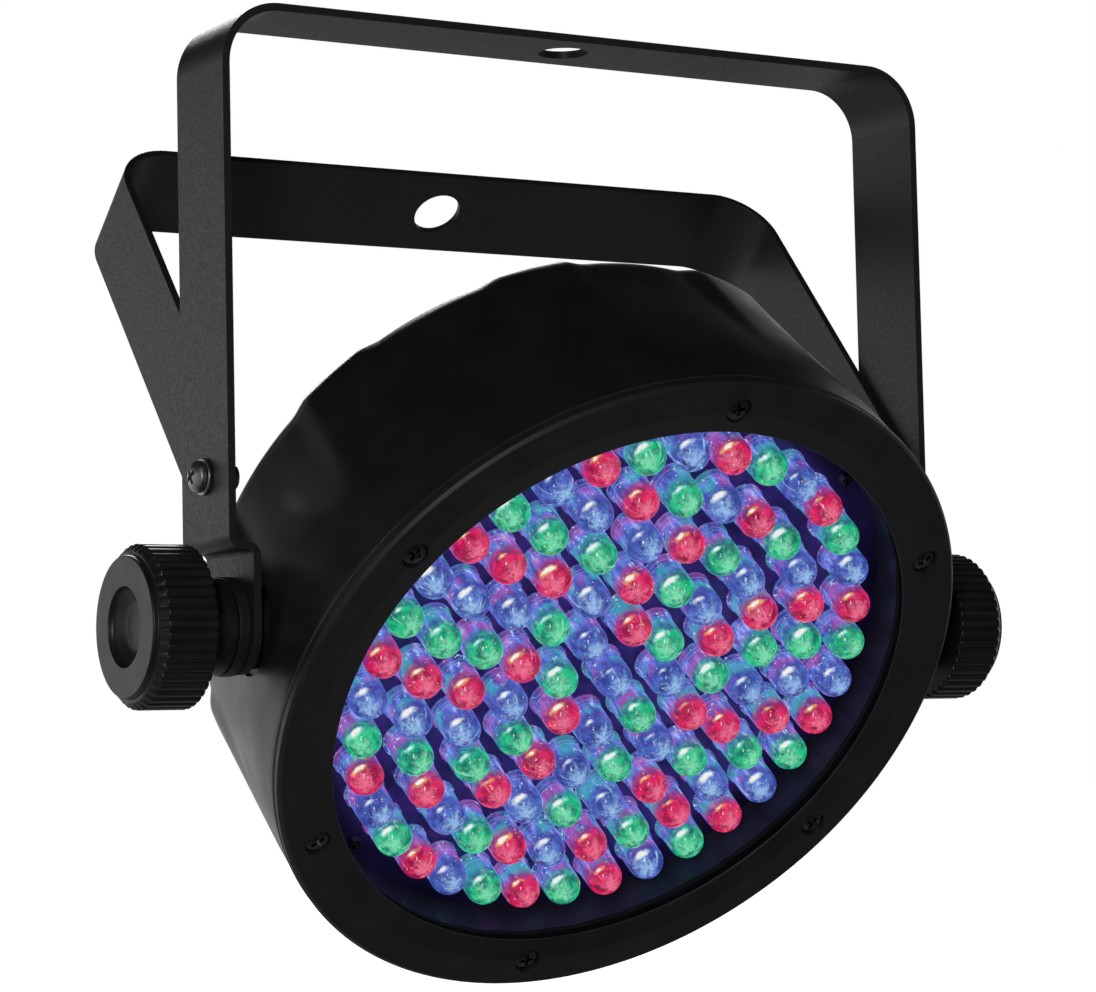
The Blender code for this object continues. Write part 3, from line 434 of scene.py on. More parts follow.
COAT = powder_coat()
DRUM = grained("drum_plastic", (0.018, 0.018, 0.019), 0.34, 0.35 * MM, 0.012 * MM)
BEZEL = grained("bezel_plastic", (0.022, 0.022, 0.0216), 0.46, 0.3 * MM, 0.02 * MM)
KNOB = grained("knob_plastic", (0.020, 0.020, 0.0205), 0.36, 0.4 * MM, 0.012 * MM)
GLOSS_PLASTIC = grained("gloss_plastic", (0.04, 0.04, 0.04), 0.16, 0.3 * MM, 0.01 * MM)
NYLON = grained("nylon", (0.022, 0.022, 0.023), 0.48, 0.3 * MM, 0.02 * MM)
BUTTON_NYLON = grained("button_nylon", (0.045, 0.045, 0.047), 0.42, 0.3 * MM, 0.015 * MM)
RUBBER = grained("rubber", (0.012, 0.012, 0.012), 0.75, 0.2 * MM, 0.02 * MM, 0.1, 0.25)
ZINC = metal("zinc_plate", (0.62, 0.61, 0.58), 0.26)
BLACK_OXIDE = metal("black_oxide", (0.16, 0.16, 0.16), 0.28)
DARK_NICKEL = metal("dark_nickel", (0.52, 0.52, 0.51), 0.42, 2 * MM)
BRASS = metal("brass", (0.72, 0.50, 0.20), 0.30)
CLEAR = clear_sheet()
SMOKED = smoked_sheet()
BOARD_BLACK = board_with_painted_glow()
BOARD_GREEN = circuit_board("board_green", (0.010, 0.10, 0.04), (0.02, 0.16, 0.07))
# each look: the deep and bright glow, the star, and the colour of the painted highlight
LED_LOOKS = {
    "R": lit_lens(
        "led_red", (0.30, 0.004, 0.055), (0.86, 0.02, 0.13), (1.0, 0.22, 0.36), (1.0, 0.50, 0.12)),
    "G": lit_lens(
        "led_green", (0.006, 0.17, 0.13), (0.02, 0.62, 0.27), (0.28, 0.90, 0.54), (0.45, 1.0, 0.85)),
    "B": lit_lens(
        "led_blue", (0.03, 0.045, 0.28), (0.09, 0.16, 0.62), (0.40, 0.66, 1.0), (0.72, 0.84, 1.0)),
}
SYMBOL = Finish("symbol_ink", base_color=(0.55, 0.55, 0.55), roughness=0.6).material


# --- mesh helpers ---
def polar(radius, degrees):
    a = math.radians(degrees)
    return (radius * math.cos(a), radius * math.sin(a))


def ease(value):
    value = min(max(value, 0.0), 1.0)
    return value * value * (3.0 - 2.0 * value)


def rounded(corners, step=15.0, closed=True):
    """A path with its corners rounded: corners are (x, y, radius)."""
    points = []
    count = len(corners)
    for i, (x, y, radius) in enumerate(corners):
        here = Vector((x, y))
        if radius <= 0.0 or (not closed and i in (0, count - 1)):
            points.append((x, y))
            continue
        before = (here - Vector(corners[i - 1][:2])).normalized()
        after = (Vector(corners[(i + 1) % count][:2]) - here).normalized()
        turn = math.atan2(before.cross(after), before.dot(after))
        reach = radius * math.tan(abs(turn) / 2)
        side = 1.0 if turn > 0 else -1.0
        normal = Vector((-before.y, before.x)) * side
        middle = here - before * reach + normal * radius
        steps = max(1, math.ceil(abs(math.degrees(turn)) / step))
        for k in range(steps + 1):
            spoke = (-normal).copy()
            spoke.rotate(Matrix.Rotation(turn * k / steps, 2))
            points.append(tuple(middle + spoke * radius))
    return points


def mm_path(*corners, step=15.0, closed=True):
    """A rounded path whose corners are (x, y, radius) in millimetres."""
    return rounded([(x * MM, y * MM, radius * MM) for x, y, radius in corners], step, closed)


def round_box(width, height, corner, step=15.0):
    w, h = width / 2, height / 2
    return rounded([(w, -h, corner), (w, h, corner), (-w, h, corner), (-w, -h, corner)], step)


def new_mesh(points, faces):
    mesh = bpy.data.meshes.new("mesh")
    mesh.from_pydata([tuple(p) for p in points], [], faces)
    mesh.update()
    return mesh


def revolve(profile, steps, shape=None):
    """Turn (radius, z) points about Z. shape(radius, angle, z) may change a point's radius.

    The profile runs down the outer side. One that starts and ends on the axis closes there.
    """
    points = []
    rings = []
    for radius, z in profile:
        if radius <= 0.0:
            rings.append([len(points)] * steps)
            points.append((0.0, 0.0, z))
            continue
        rings.append(list(range(len(points), len(points) + steps)))
        for k in range(steps):
            a = 2 * math.pi * k / steps
            r = shape(radius, a, z) if shape else radius
            points.append((r * math.cos(a), r * math.sin(a), z))
    pairs = list(zip(rings, rings[1:]))
    if profile[0][0] > 0.0 and profile[-1][0] > 0.0:
        pairs.append((rings[-1], rings[0]))
    faces = []
    for upper, lower in pairs:
        for k in range(steps):
            n = (k + 1) % steps
            corners = [upper[k], lower[k], lower[n], upper[n]]
            face = [c for i, c in enumerate(corners) if c not in corners[:i]]
            if len(face) > 2:
                faces.append(face)
    return new_mesh(points, faces)


def upright(radius, x, y, low, high, steps=FINE):
    return rod(radius, (x, y, low), (x, y, high), steps)


def prism(outline, low, high):
    """An outline of (x, y) points, anticlockwise, raised from low to high."""
    count = len(outline)
    points = [(x, y, low) for x, y in outline] + [(x, y, high) for x, y in outline]
    faces = [list(range(count))[::-1], list(range(count, 2 * count))]
    for k in range(count):
        n = (k + 1) % count
        faces.append([k, n, count + n, count + k])
    return new_mesh(points, faces)


def disc(radius, low, high, low_edge, high_edge):
    """A large disc whose two edges are rounded by these radii."""
    profile = rounded([
        (0.0, high, 0.0), (radius, high, high_edge), (radius, low, low_edge), (0.0, low, 0.0),
    ], 30.0, closed=False)
    return revolve(profile, ROUND)


def rod(radius, start, end, steps=FINE):
    """A cylinder between two points."""
    start, end = Vector(start), Vector(end)
    along = end - start
    mesh = prism([polar(radius, 360 * k / steps) for k in range(steps)], 0.0, along.length)
    mesh.transform(Matrix.Translation(start) @ along.to_track_quat("Z", "Y").to_matrix().to_4x4())
    return mesh


def moved(mesh, place):
    mesh.transform(place)
    return mesh


def at(x, y, z=0.0):
    return Matrix.Translation((x, y, z))


def turned(angle, axis="Z"):
    return Matrix.Rotation(angle, 4, axis)


def mesh_of(work):
    """A mesh from bmesh work, which ends here."""
    mesh = bpy.data.meshes.new("mesh")
    work.to_mesh(mesh)
    work.free()
    return mesh


def together(meshes):
    work = bmesh.new()
    for mesh in meshes:
        work.from_mesh(mesh)
    return mesh_of(work)


def added(name, data):
    """A new object in the scene."""
    thing = bpy.data.objects.new(name, data)
    bpy.context.scene.collection.objects.link(thing)
    return thing


def applied(mesh, kind, **settings):
    """The mesh after one modifier."""
    thing = added("work", mesh)
    modifier = thing.modifiers.new(kind, kind)
    for key, value in settings.items():
        setattr(modifier, key, value)
    bpy.context.view_layer.update()
    done = bpy.data.meshes.new_from_object(thing.evaluated_get(bpy.context.evaluated_depsgraph_get()))
    bpy.data.objects.remove(thing, do_unlink=True)
    return done


def carved(mesh, cutters, operation="DIFFERENCE"):
    """The mesh cut by, joined with or trimmed to separate closed meshes."""
    tool = added("tool", together(cutters))
    done = applied(mesh, "BOOLEAN", object=tool, operation=operation, solver="EXACT")
    bpy.data.objects.remove(tool, do_unlink=True)
    return done


def edged(mesh, width=EDGE, segments=2, angle=35.0):
    """The mesh with its sharp edges rounded."""
    return applied(
        mesh, "BEVEL", width=width, segments=segments, limit_method="ANGLE",
        angle_limit=math.radians(angle), use_clamp_overlap=True,
    )


def piece(name, mesh, look, body, nodes=(), sharp=35.0):
    """A finished piece that rides on a body and stands for CAD nodes."""
    mesh.name = name
    mesh.materials.clear()
    mesh.materials.append(look)
    mesh.shade_smooth()
    mesh.set_sharp_from_angle(angle=math.radians(sharp))
    thing = added(name, mesh)
    weighted = thing.modifiers.new("normals", "WEIGHTED_NORMAL")
    weighted.keep_sharp = True
    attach(thing, body)
    if nodes:
        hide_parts(*nodes)


def can_piece(name, mesh, look, nodes=(), sharp=35.0):
    """A piece that is fixed to the lamp, from a mesh in the lamp's own space."""
    piece(name, moved(mesh, CAN), look, "can", nodes, sharp)


# --- brackets ---
def strap(right, side, holes):
    """A flat strap bent along a path in XZ, trimmed to a side outline in YZ, and drilled.

    right is the path's right half; the left half mirrors it.
    """
    corners = right + [(-x, z, r) for x, z, r in reversed(right)]
    line = [Vector(p) for p in rounded(corners, 5.0, closed=False)]
    points = []
    for i, here in enumerate(line):
        ahead = line[min(i + 1, len(line) - 1)] - line[max(i - 1, 0)]
        normal = Vector((-ahead.y, ahead.x)).normalized() * STRAP_T / 2
        for out, half in ((1, 1), (1, -1), (-1, -1), (-1, 1)):
            p = here + normal * out
            points.append((p.x, half * STRAP_W / 2, p.y))
    faces = [[0, 1, 2, 3], [len(points) - k for k in (1, 2, 3, 4)]]
    for i in range(len(line) - 1):
        for k in range(4):
            a, b = 4 * i + k, 4 * i + (k + 1) % 4
            faces.append([a, a + 4, b + 4, b])
    work = bmesh.new()
    work.from_mesh(new_mesh(points, faces))
    bmesh.ops.recalc_face_normals(work, faces=work.faces)
    trim = prism(side, -2 * FRONT_HALF, 2 * FRONT_HALF)
    trim.transform(Matrix(((0, 0, 1), (1, 0, 0), (0, 1, 0))).to_4x4())
    mesh = carved(mesh_of(work), [trim], "INTERSECT")
    return edged(carved(mesh, holes), EDGE, 3)


def front_bracket():
    ear_x = EAR_HALF - STRAP_T / 2
    leg_x = FRONT_HALF - STRAP_T / 2
    shelf = KNOB_AXIS.z + JOGGLE_RISE
    half = STRAP_W / 2
    right = [
        (ear_x, FRONT_LOW.z - 1 * MM, 0.0),
        (ear_x, shelf, JOGGLE_BEND),
        (leg_x, shelf, JOGGLE_BEND),
        (leg_x, FRONT_HIGH.z - STRAP_T / 2, STRAP_BEND),
    ]
    side = rounded([
        (half, 5 * MM, 0.0), (-half, 5 * MM, 0.0),
        (-half, FRONT_LOW.z, EAR_CORNER), (half, FRONT_LOW.z, EAR_CORNER),
    ], 6.0)
    holes = [rod(CLAMP_HOLE_R, (0, 0, -8 * MM), (0, 0, 5 * MM), 64)]
    for radius, z in ((STUD_HOLE_R, KNOB_AXIS.z), (PIVOT_HOLE_R, REAR_PIVOT.z)):
        holes.append(rod(radius, (-BESIDE, 0, z), (BESIDE, 0, z), 32))
    mesh = strap(right, side, holes)
    piece("front_strap", mesh, COAT, "yoke", ["front_bracket"])


def rear_bracket():
    leg_x = REAR_HALF - STRAP_T / 2
    half = STRAP_W / 2
    top = REAR_LEG + 5 * MM
    right = [(leg_x, -REAR_FOOT - 1 * MM, 0.0), (leg_x, REAR_LEG - STRAP_T / 2, STRAP_BEND)]
    side = rounded([
        (half, top, 0.0), (-half, top, 0.0), (-half, REAR_FOOT_RISE, 5 * MM),
        (-REAR_FOOT_HALF, -REAR_FOOT, 2 * MM), (REAR_FOOT_HALF, -REAR_FOOT, 2 * MM),
        (half, REAR_FOOT_RISE, 5 * MM),
    ], 6.0)
    holes = [
        rod(CLAMP_HOLE_R, (0, 0, REAR_LEG - 8 * MM), (0, 0, REAR_LEG + 5 * MM), 64),
        rod(PIVOT_HOLE_R, (-BESIDE, 0, 0), (BESIDE, 0, 0), 32),
    ]
    mesh = strap(right, side, holes)
    mesh.transform(Matrix.Translation(REAR_PIVOT) @ turned(-REAR_LEAN, "X"))
    piece("rear_strap", mesh, COAT, "rear_yoke", ["rear_bracket"])


# --- fasteners ---
def cross(width, depth, top):
    """Cutters for a cross recess: two straight arms and a tapered hub."""
    half, thin = width / 2, 0.13 * width
    above = top + 2 * MM
    cutters = []
    for turn in (0, math.pi / 2):
        arm = prism([(-half, -thin), (half, -thin), (half, thin), (-half, thin)], top - depth, above)
        cutters.append(moved(arm, turned(turn)))
    tip = top - depth * 1.4
    hub = [(0.0, above), (width * 0.24, above), (width * 0.14, tip), (0.0, tip)]
    cutters.append(revolve(hub, 16))
    return cutters


def screw_head(head_r, head_h, shaft_r, length, recess, domed=True):
    """A cross-recess screw: a pan head on z = 0, or a countersunk one below it."""
    if domed:
        profile = rounded([
            (0.0, head_h * 1.02, 0.0), (head_r * 0.62, head_h * 0.98, head_r * 0.9),
            (head_r, head_h * 0.42, head_h * 0.3), (head_r, 0.0, 0.0), (shaft_r, 0.0, 0.0),
            (shaft_r, -length, 0.0), (0.0, -length, 0.0),
        ], 12.0, closed=False)
    else:
        profile = rounded([
            (0.0, 0.16 * MM, 0.0), (head_r * 0.5, 0.12 * MM, head_r), (head_r, -0.2 * MM, 0.12 * MM),
            (shaft_r, -head_h, 0.0), (shaft_r, -length, 0.0), (0.0, -length, 0.0),
        ], 12.0, closed=False)
    mesh = revolve(profile, 40)
    top = head_h if domed else 0.15 * MM
    for cutter in cross(recess, head_h * 0.62, top):
        mesh = carved(mesh, [cutter])
    return edged(mesh, 0.06 * MM, 2, 40.0)


def washer(bore, radius, low, high):
    soft = min(0.25 * MM, (high - low) / 3)
    profile = rounded([
        (bore, high, soft), (radius, high, soft), (radius, low, soft), (bore, low, soft),
    ], 30.0)
    return revolve(profile, FINE)


def lock_nut(across, bore, low, high):
    """A hexagon with chamfered corners under a round nylon collar."""
    outer = across / math.sqrt(3)
    flat = across / 2

    def hexagon(radius, angle, z):
        if radius < flat:
            return radius
        edge = flat / math.cos((angle + math.pi / 6) % (math.pi / 3) - math.pi / 6)
        return min(radius, edge)

    collar = low + 0.9 * MM
    profile = [
        (bore, high), (flat * 0.96, high), (outer, high - 0.5 * MM), (outer, collar + 0.4 * MM),
        (flat * 0.97, collar), (flat * 0.9, collar), (flat * 0.86, low + 0.2 * MM),
        (flat * 0.74, low), (bore, low),
    ]
    return revolve(profile, 72, hexagon)


def pivots():
    """Screws, washers and lock nuts that the rear bracket swings on."""
    head = screw_head(4.0 * MM, 2.6 * MM, 1.95 * MM, 9.8 * MM, 4.3 * MM)
    for side, word in ((-1, "_left"), (1, "_right")):
        place = Matrix.Translation(REAR_PIVOT) @ turned(side * math.pi / 2, "Y")
        low, high, radius = extents("pivot_washer" + word, place)
        disc_mesh = moved(washer(PIVOT_HOLE_R, radius, low, high), place)
        screw = moved(head.copy(), place @ at(0, 0, high + GAP) @ turned(0.5))
        low, high, _ = extents("lock_nut" + word, place)
        nut = moved(lock_nut(7.0 * MM, PIVOT_HOLE_R, low, high), place)
        for name, mesh, node in (
            ("pivot_washer_disc", disc_mesh, "pivot_washer"),
            ("pivot_screw_head", screw, "pivot_screw"),
            ("pivot_lock_nut", nut, "lock_nut"),
        ):
            piece(name + word, mesh, DARK_NICKEL, "yoke", [node + word])


# --- lamp housing ---
def fluted(radius, angle, z):
    """The drum's radius at an angle, with its soft flutes."""
    if radius < FLUTE_INNER_R or z > FLUTE_FRONT_Z:
        return radius
    pitch = 2 * math.pi / FLUTES
    from_land = abs((angle + pitch / 2) % pitch - pitch / 2)
    across = ease((from_land - FLUTE_LAND) / FLUTE_SLOPE)
    along = ease((FLUTE_FRONT_Z - z) / (FLUTE_FRONT_Z - FLUTE_REAR_Z))
    fade = ease((radius - FLUTE_INNER_R) / (CAN_REAR_R - FLUTE_INNER_R))
    return radius - FLUTE_DEPTH * across * along * fade


def drum():
    """The moulded can: outer skin with flutes, rolled shoulder, rear lip and bore."""
    wall = [(28.0, 96.0), (17.0, 95.9), (4.0, 95.5), (-10.0, 95.0), (-28.5, 94.4)]  # (z, radius) in mm
    profile = [
        (88.5 * MM, DRUM_RIM_Z), (DRUM_R - 0.7 * MM, DRUM_RIM_Z), (DRUM_R - 0.2 * MM, DRUM_RIM_Z - 0.2 * MM),
    ]
    for (z0, r0), (z1, r1) in zip(wall, wall[1:]):
        for k in range(6):
            t = k / 6
            profile.append(((r0 + (r1 - r0) * t) * MM, (z0 + (z1 - z0) * t) * MM))
    centre_r = CAN_REAR_R - SHOULDER_R
    centre_z = REAR_Z + SHOULDER_R
    for k in range(13):
        r, z = polar(SHOULDER_R, -90 * k / 12)
        profile.append((centre_r + r, centre_z + z))
    lip = COVER_R + 0.4 * MM
    ledge = COVER_FRONT_Z + GAP
    profile += [(lip + 0.4 * MM, REAR_Z), (lip, REAR_Z + 0.4 * MM), (lip, ledge), (73 * MM, ledge)]
    profile += [(73 * MM, ledge + 2.5 * MM), (88 * MM, ledge + 2.5 * MM), (88.5 * MM, 22 * MM)]
    mesh = revolve(profile, 2 * ROUND, fluted)
    outside, inside = 99 * MM, 80 * MM
    for radius, start, steps in ((SIDE_FLAT_R, SIDE_FLAT, 64), (INSERT_HOLE_R, inside, 48)):
        cutters = [rod(radius, (s * start, 0, 0), (s * outside, 0, 0), steps) for s in (-1, 1)]
        mesh = carved(mesh, cutters)
    can_piece("drum_shell", mesh, DRUM, ["can_body"], 30.0)


def bezel():
    """Front ring with a dished inner bevel, six sunk screw seats and a chamfered outside."""
    back = BEZEL_BACK_Z
    seat = WINDOW_FRONT_Z + GAP
    wide = WINDOW_R + 0.4 * MM
    profile = rounded([
        (OPENING_R, FACE_Z - 1.1 * MM, 0.35 * MM),
        (87.0 * MM, FACE_Z, 6.0 * MM),
        (CAN_R - 1.0 * MM, FACE_Z, 0.8 * MM),
        (CAN_R, FACE_Z - 0.9 * MM, 0.6 * MM),
        (CAN_R, back, 0.25 * MM),
        (wide, back, 0.0),
        (wide, seat, 0.0),
        (OPENING_R, seat, 0.2 * MM),
    ], 10.0)
    mesh = revolve(profile, ROUND)
    cutters = []
    for k in range(BEZEL_SCREWS):
        sink = [
            (0.0, FACE_Z + 1 * MM), (3.55 * MM, FACE_Z + 1 * MM), (3.55 * MM, FACE_Z - 1.3 * MM),
            (1.9 * MM, back - 1 * MM), (0.0, back - 1 * MM),
        ]
        cutters.append(moved(revolve(sink, FINE), at(*polar(SCREW_CIRCLE_R, 90 + 60 * k))))
    mesh = edged(carved(mesh, cutters), 0.32 * MM, 3, 50.0)
    can_piece("bezel", mesh, BEZEL, ["bezel_ring"])

    bead = [(CAN_R + x, back + 0.1 * MM + z) for x, z in (polar(0.2 * MM, -36 * k) for k in range(10))]
    can_piece("bezel_rim_bead", revolve(bead, ROUND), GLOSS_PLASTIC)

    head = screw_head(3.2 * MM, 2.0 * MM, 1.4 * MM, 13 * MM, 3.7 * MM, domed=False)
    for k in range(BEZEL_SCREWS):
        x, y = polar(SCREW_CIRCLE_R, 90 - 60 * k)
        mesh = head.copy()
        mesh.transform(CAN @ at(x, y, FACE_Z - 0.7 * MM) @ turned(0.5 * k + 0.3))
        node = f"bezel_screw_{k + 1}"
        piece(node + "_head", mesh, BLACK_OXIDE, "can", [node])


def window():
    mesh = disc(WINDOW_R, WINDOW_BACK_Z, WINDOW_FRONT_Z, 0.3 * MM, 0.3 * MM)
    can_piece("window_sheet", mesh, CLEAR, ["front_window"])


# --- LEDs ---
def led_mesh():
    """One LED standing on z = 0: flange, slightly tapered stem and dome."""
    flange = 5.5 * MM
    profile = [(0.0, LED_DOME + LED_R)]
    for degrees in range(80, -10, -10):
        r, z = polar(LED_R * 0.985, degrees)
        profile.append((r, LED_DOME + z))
    profile += [
        (LED_R * 0.99, 5.0 * MM), (LED_R, 1.7 * MM),
        (flange, 1.45 * MM), (flange, 0.5 * MM), (0.0, 0.5 * MM),
    ]
    return revolve(profile, 24)


def leds():
    """All the LEDs, one piece for each colour."""
    one = led_mesh()
    draw = random.Random(56)
    groups = {"R": [], "G": [], "B": []}
    for radius, first, colours in LED_RINGS:
        for k, colour in enumerate(colours):
            x, y = polar(radius, first + 360.0 * k / len(colours))
            groups[colour].append((x, y, draw.random()))
    for colour, word in (("R", "red"), ("G", "green"), ("B", "blue")):
        work = bmesh.new()
        local = work.verts.layers.float_vector.new("led_local")
        seed = work.verts.layers.float.new("led_seed")
        for x, y, number in groups[colour]:
            before = len(work.verts)
            work.from_mesh(one)
            work.verts.ensure_lookup_table()
            made = work.verts[before:]
            for vertex in made:
                vertex[local] = vertex.co / LED_R
                vertex[seed] = number
            bmesh.ops.translate(work, vec=(x, y, BOARD_TOP_Z), verts=made)
        can_piece("leds_" + word, mesh_of(work), LED_LOOKS[colour], ["led_cluster"], 50.0)


# --- knobs ---
def ribbed(radius, angle, z):
    """The knob's skirt: wide round ribs with narrow grooves between them."""
    start = KNOB_R - 1.5 * MM
    if radius < start:
        return radius
    groove = (0.5 - 0.5 * math.cos(KNOB_RIBS * angle)) ** 2.6
    return radius - KNOB_RIB_DEPTH * groove * min(1.0, (radius - start) / (0.5 * MM))


def knob_mesh():
    face = KNOB_FACE
    profile = rounded([
        (0.0, face - KNOB_RECESS_DEPTH, 0.0),
        (0.6 * KNOB_RECESS_R, face - KNOB_RECESS_DEPTH, 4.0 * MM),
        (KNOB_RECESS_R - 0.3 * MM, face - 0.4 * KNOB_RECESS_DEPTH, 1.5 * MM),
        (KNOB_RECESS_R, face, 0.35 * MM),
        (17.5 * MM, face, 0.45 * MM),
        (17.7 * MM, face - 1.5 * MM, 0.25 * MM),
        (18.6 * MM, face - 1.6 * MM, 0.25 * MM),
        (KNOB_R, face - 3.3 * MM, 0.5 * MM),
        (KNOB_R, KNOB_SKIRT, 0.9 * MM),
        (KNOB_NECK_R + 4 * MM, KNOB_SKIRT, 0.0),
        (KNOB_NECK_R, KNOB_SKIRT, 1.0 * MM),
        (KNOB_NECK_R, KNOB_NECK, 0.4 * MM),
        (4.4 * MM, KNOB_NECK, 0.3 * MM),
        (4.4 * MM, KNOB_SKIRT + 3.2 * MM, 0.0),
        (0.0, KNOB_SKIRT + 3.2 * MM, 0.0),
    ], 12.0, closed=False)
    return revolve(profile, KNOB_RIBS * 12, ribbed)


def knobs():
    body = knob_mesh()
    for side, word in ((-1, "_left"), (1, "_right")):
        place = knob_space(side)
        knob = "knob" + word
        piece("knob_grip" + word, moved(body.copy(), place), KNOB, knob, [knob], 40.0)
        mesh = moved(washer(STUD_HOLE_R, WASHER_R, WASHER_IN, WASHER_OUT), place)
        piece("knob_collar_disc" + word, mesh, NYLON, "knob_collar" + word,
              ["knob_washer" + word])
        node = "friction_washer" + word
        low, high, radius = extents(node, place)
        mesh = moved(washer(STUD_HOLE_R, radius - 1 * MM, low, high), place)
        piece("friction_pad" + word, mesh, RUBBER, "can", [node])


# --- rear panel ---
def rear_cover():
    """The moulded panel at the back, with openings for all that sits in it."""
    low, high = COVER_BACK_Z, COVER_FRONT_Z
    mesh = disc(COVER_R, low, high, 0.4 * MM, 0.0)
    below, above = low - 2 * MM, high + 2 * MM
    cutters = []

    def slot(x, y, width, height, corner):
        cutters.append(moved(prism(round_box(width, height, corner, 30.0), below, above), at(x, y)))

    def hole(x, y, radius, steps=FINE):
        cutters.append(upright(radius, x, y, below, above, steps))

    for k in range(4):
        hole(*polar(COVER_SCREW_R, 45 + 90 * k), 1.8 * MM, 24)
    slot(0, DISPLAY_Y, DISPLAY_SIZE[0] + 2 * GAP, DISPLAY_SIZE[1] + 2 * GAP, 0.2 * MM)
    for k in range(len(BUTTONS)):
        hole((k - 1.5) * BUTTON_PITCH, BUTTON_Y, BUTTON_R + GAP, 32)
    for (x, y), (width, height) in ((INLET_AT, INLET_BODY), (SWITCH_AT, SWITCH_BODY)):
        slot(x, y, width + 2 * GAP, height + 2 * GAP, 0.2 * MM)
    for side in (-1, 1):
        hole(side * SOCKET_X, SOCKET_Y, SOCKET_R + GAP)
    hole(*MICROPHONE_AT, 1.5 * MM, 24)
    # vents: long ones below the middle, and a fan of shorter ones near the top
    for k in range(6):
        slot(0, -6 * MM - 4.5 * MM * k, 36 * MM, 2.0 * MM, 0.95 * MM)
    for k in range(5):
        slot(0, 61 * MM + 3.0 * MM * k, (46 - 5 * k) * MM, 1.5 * MM, 0.7 * MM)
    mesh = edged(carved(mesh, cutters), 0.25 * MM, 2, 40.0)
    can_piece("rear_panel", mesh, NYLON, ["rear_cover"])

    head = screw_head(2.8 * MM, 1.8 * MM, 1.3 * MM, 7.5 * MM, 3.1 * MM)
    for k in range(4):
        x, y = polar(COVER_SCREW_R, 45 + 90 * k)
        turn = turned(math.pi, "X") @ turned(0.6 * k)
        node = f"cover_screw_{k + 1}"
        mesh = moved(head.copy(), CAN @ at(x, y, low - GAP) @ turn)
        piece(node + "_head", mesh, BLACK_OXIDE, "can", [node])


def ring_mark(inner, outer, half):
    """A flat printed ring."""
    return revolve([(inner, half), (outer, half), (outer, -half), (inner, -half)], 32)


def flange_plate(width, height, corner, thickness, x, y):
    """A flange with rounded corners that lies on the rear cover."""
    plate = prism(round_box(width, height, corner, 10.0), -thickness, 0.0)
    return moved(plate, at(x, y, COVER_BACK_Z - GAP))


def block(width, height, low, high, x, y, corner=0.6 * MM):
    return moved(prism(round_box(width, height, corner, 20.0), low, high), at(x, y))


def mains_inlet():
    """The mains inlet: a flange, a six-sided hollow and three blades."""
    back = COVER_BACK_Z
    x, y = INLET_AT
    mesh = flange_plate(48 * MM, 27 * MM, 5 * MM, 1.6 * MM, x, y)
    mesh = carved(mesh, [block(*INLET_BODY, back - 0.8 * MM, back + 19.2 * MM, x, y)], "UNION")
    hollow = mm_path(
        (12.2, 3.2, 0.8), (8.2, 8.2, 0.8), (-8.2, 8.2, 0.8),
        (-12.2, 3.2, 0.8), (-12.2, -8.2, 1.5), (12.2, -8.2, 1.5),
    )
    hollow = moved(prism(hollow, back - 4 * MM, back + 14 * MM), at(x, y))
    mesh = edged(carved(mesh, [hollow]), 0.4 * MM)
    can_piece("mains_inlet", mesh, NYLON, ["power_inlet"])
    blades = [
        block(2.0 * MM, 4.0 * MM, back + 0.8 * MM, back + 15 * MM, x + dx * MM, y + dy * MM, 0.3 * MM)
        for dx, dy in ((-7.0, -1.6), (7.0, -1.6), (0.0, 2.4))
    ]
    can_piece("mains_inlet_blades", edged(together(blades), 0.3 * MM), ZINC)


def rocker_switch():
    """The rocker switch in its frame, with a circle and a bar printed on its two faces."""
    back = COVER_BACK_Z
    x, y = SWITCH_AT
    mesh = flange_plate(25 * MM, 19 * MM, 1.5 * MM, 1.4 * MM, x, y)
    mesh = carved(mesh, [block(*SWITCH_BODY, back - 0.7 * MM, back + 13.3 * MM, x, y)], "UNION")
    mesh = carved(mesh, [block(18 * MM, 12 * MM, back - 3 * MM, back + 9 * MM, x, y)])
    mesh = edged(mesh, 0.35 * MM)
    can_piece("rocker_frame", mesh, NYLON, ["switch_frame"])

    lean = math.radians(7)
    place = CAN @ at(x, y, back + 2.5 * MM) @ turned(lean, "Y")
    outline = mm_path(
        (8.4, -4.2, 0.5), (7.4, 3.0, 0.5), (3.0, 4.5, 1.0), (-3.0, 4.5, 1.0),
        (-7.4, 3.0, 0.5), (-8.4, -4.2, 0.5), (0.0, -2.6, 14.0), step=8.0,
    )
    mesh = moved(prism(outline, -5.6 * MM, 5.6 * MM), turned(math.pi / 2, "X"))
    mesh = moved(edged(mesh, 0.35 * MM), place)
    piece("rocker_cap", mesh, KNOB, "rocker", ["power_switch"])
    circle = ring_mark(1.9 * MM, 2.4 * MM, 0.1 * MM)
    bar = prism(round_box(0.5 * MM, 4.2 * MM, 0.1 * MM), -0.1 * MM, 0.1 * MM)
    slope = math.atan2(1.6, 8.4)
    away = 4.6 * MM
    z = -2.6 * MM - away * math.tan(slope)
    marks = []
    for mark, side in ((circle, -1), (bar, 1)):
        marks.append(moved(mark, at(side * away, 0, z) @ turned(side * slope, "Y")))
    piece("rocker_marks", moved(together(marks), place), SYMBOL, "rocker")


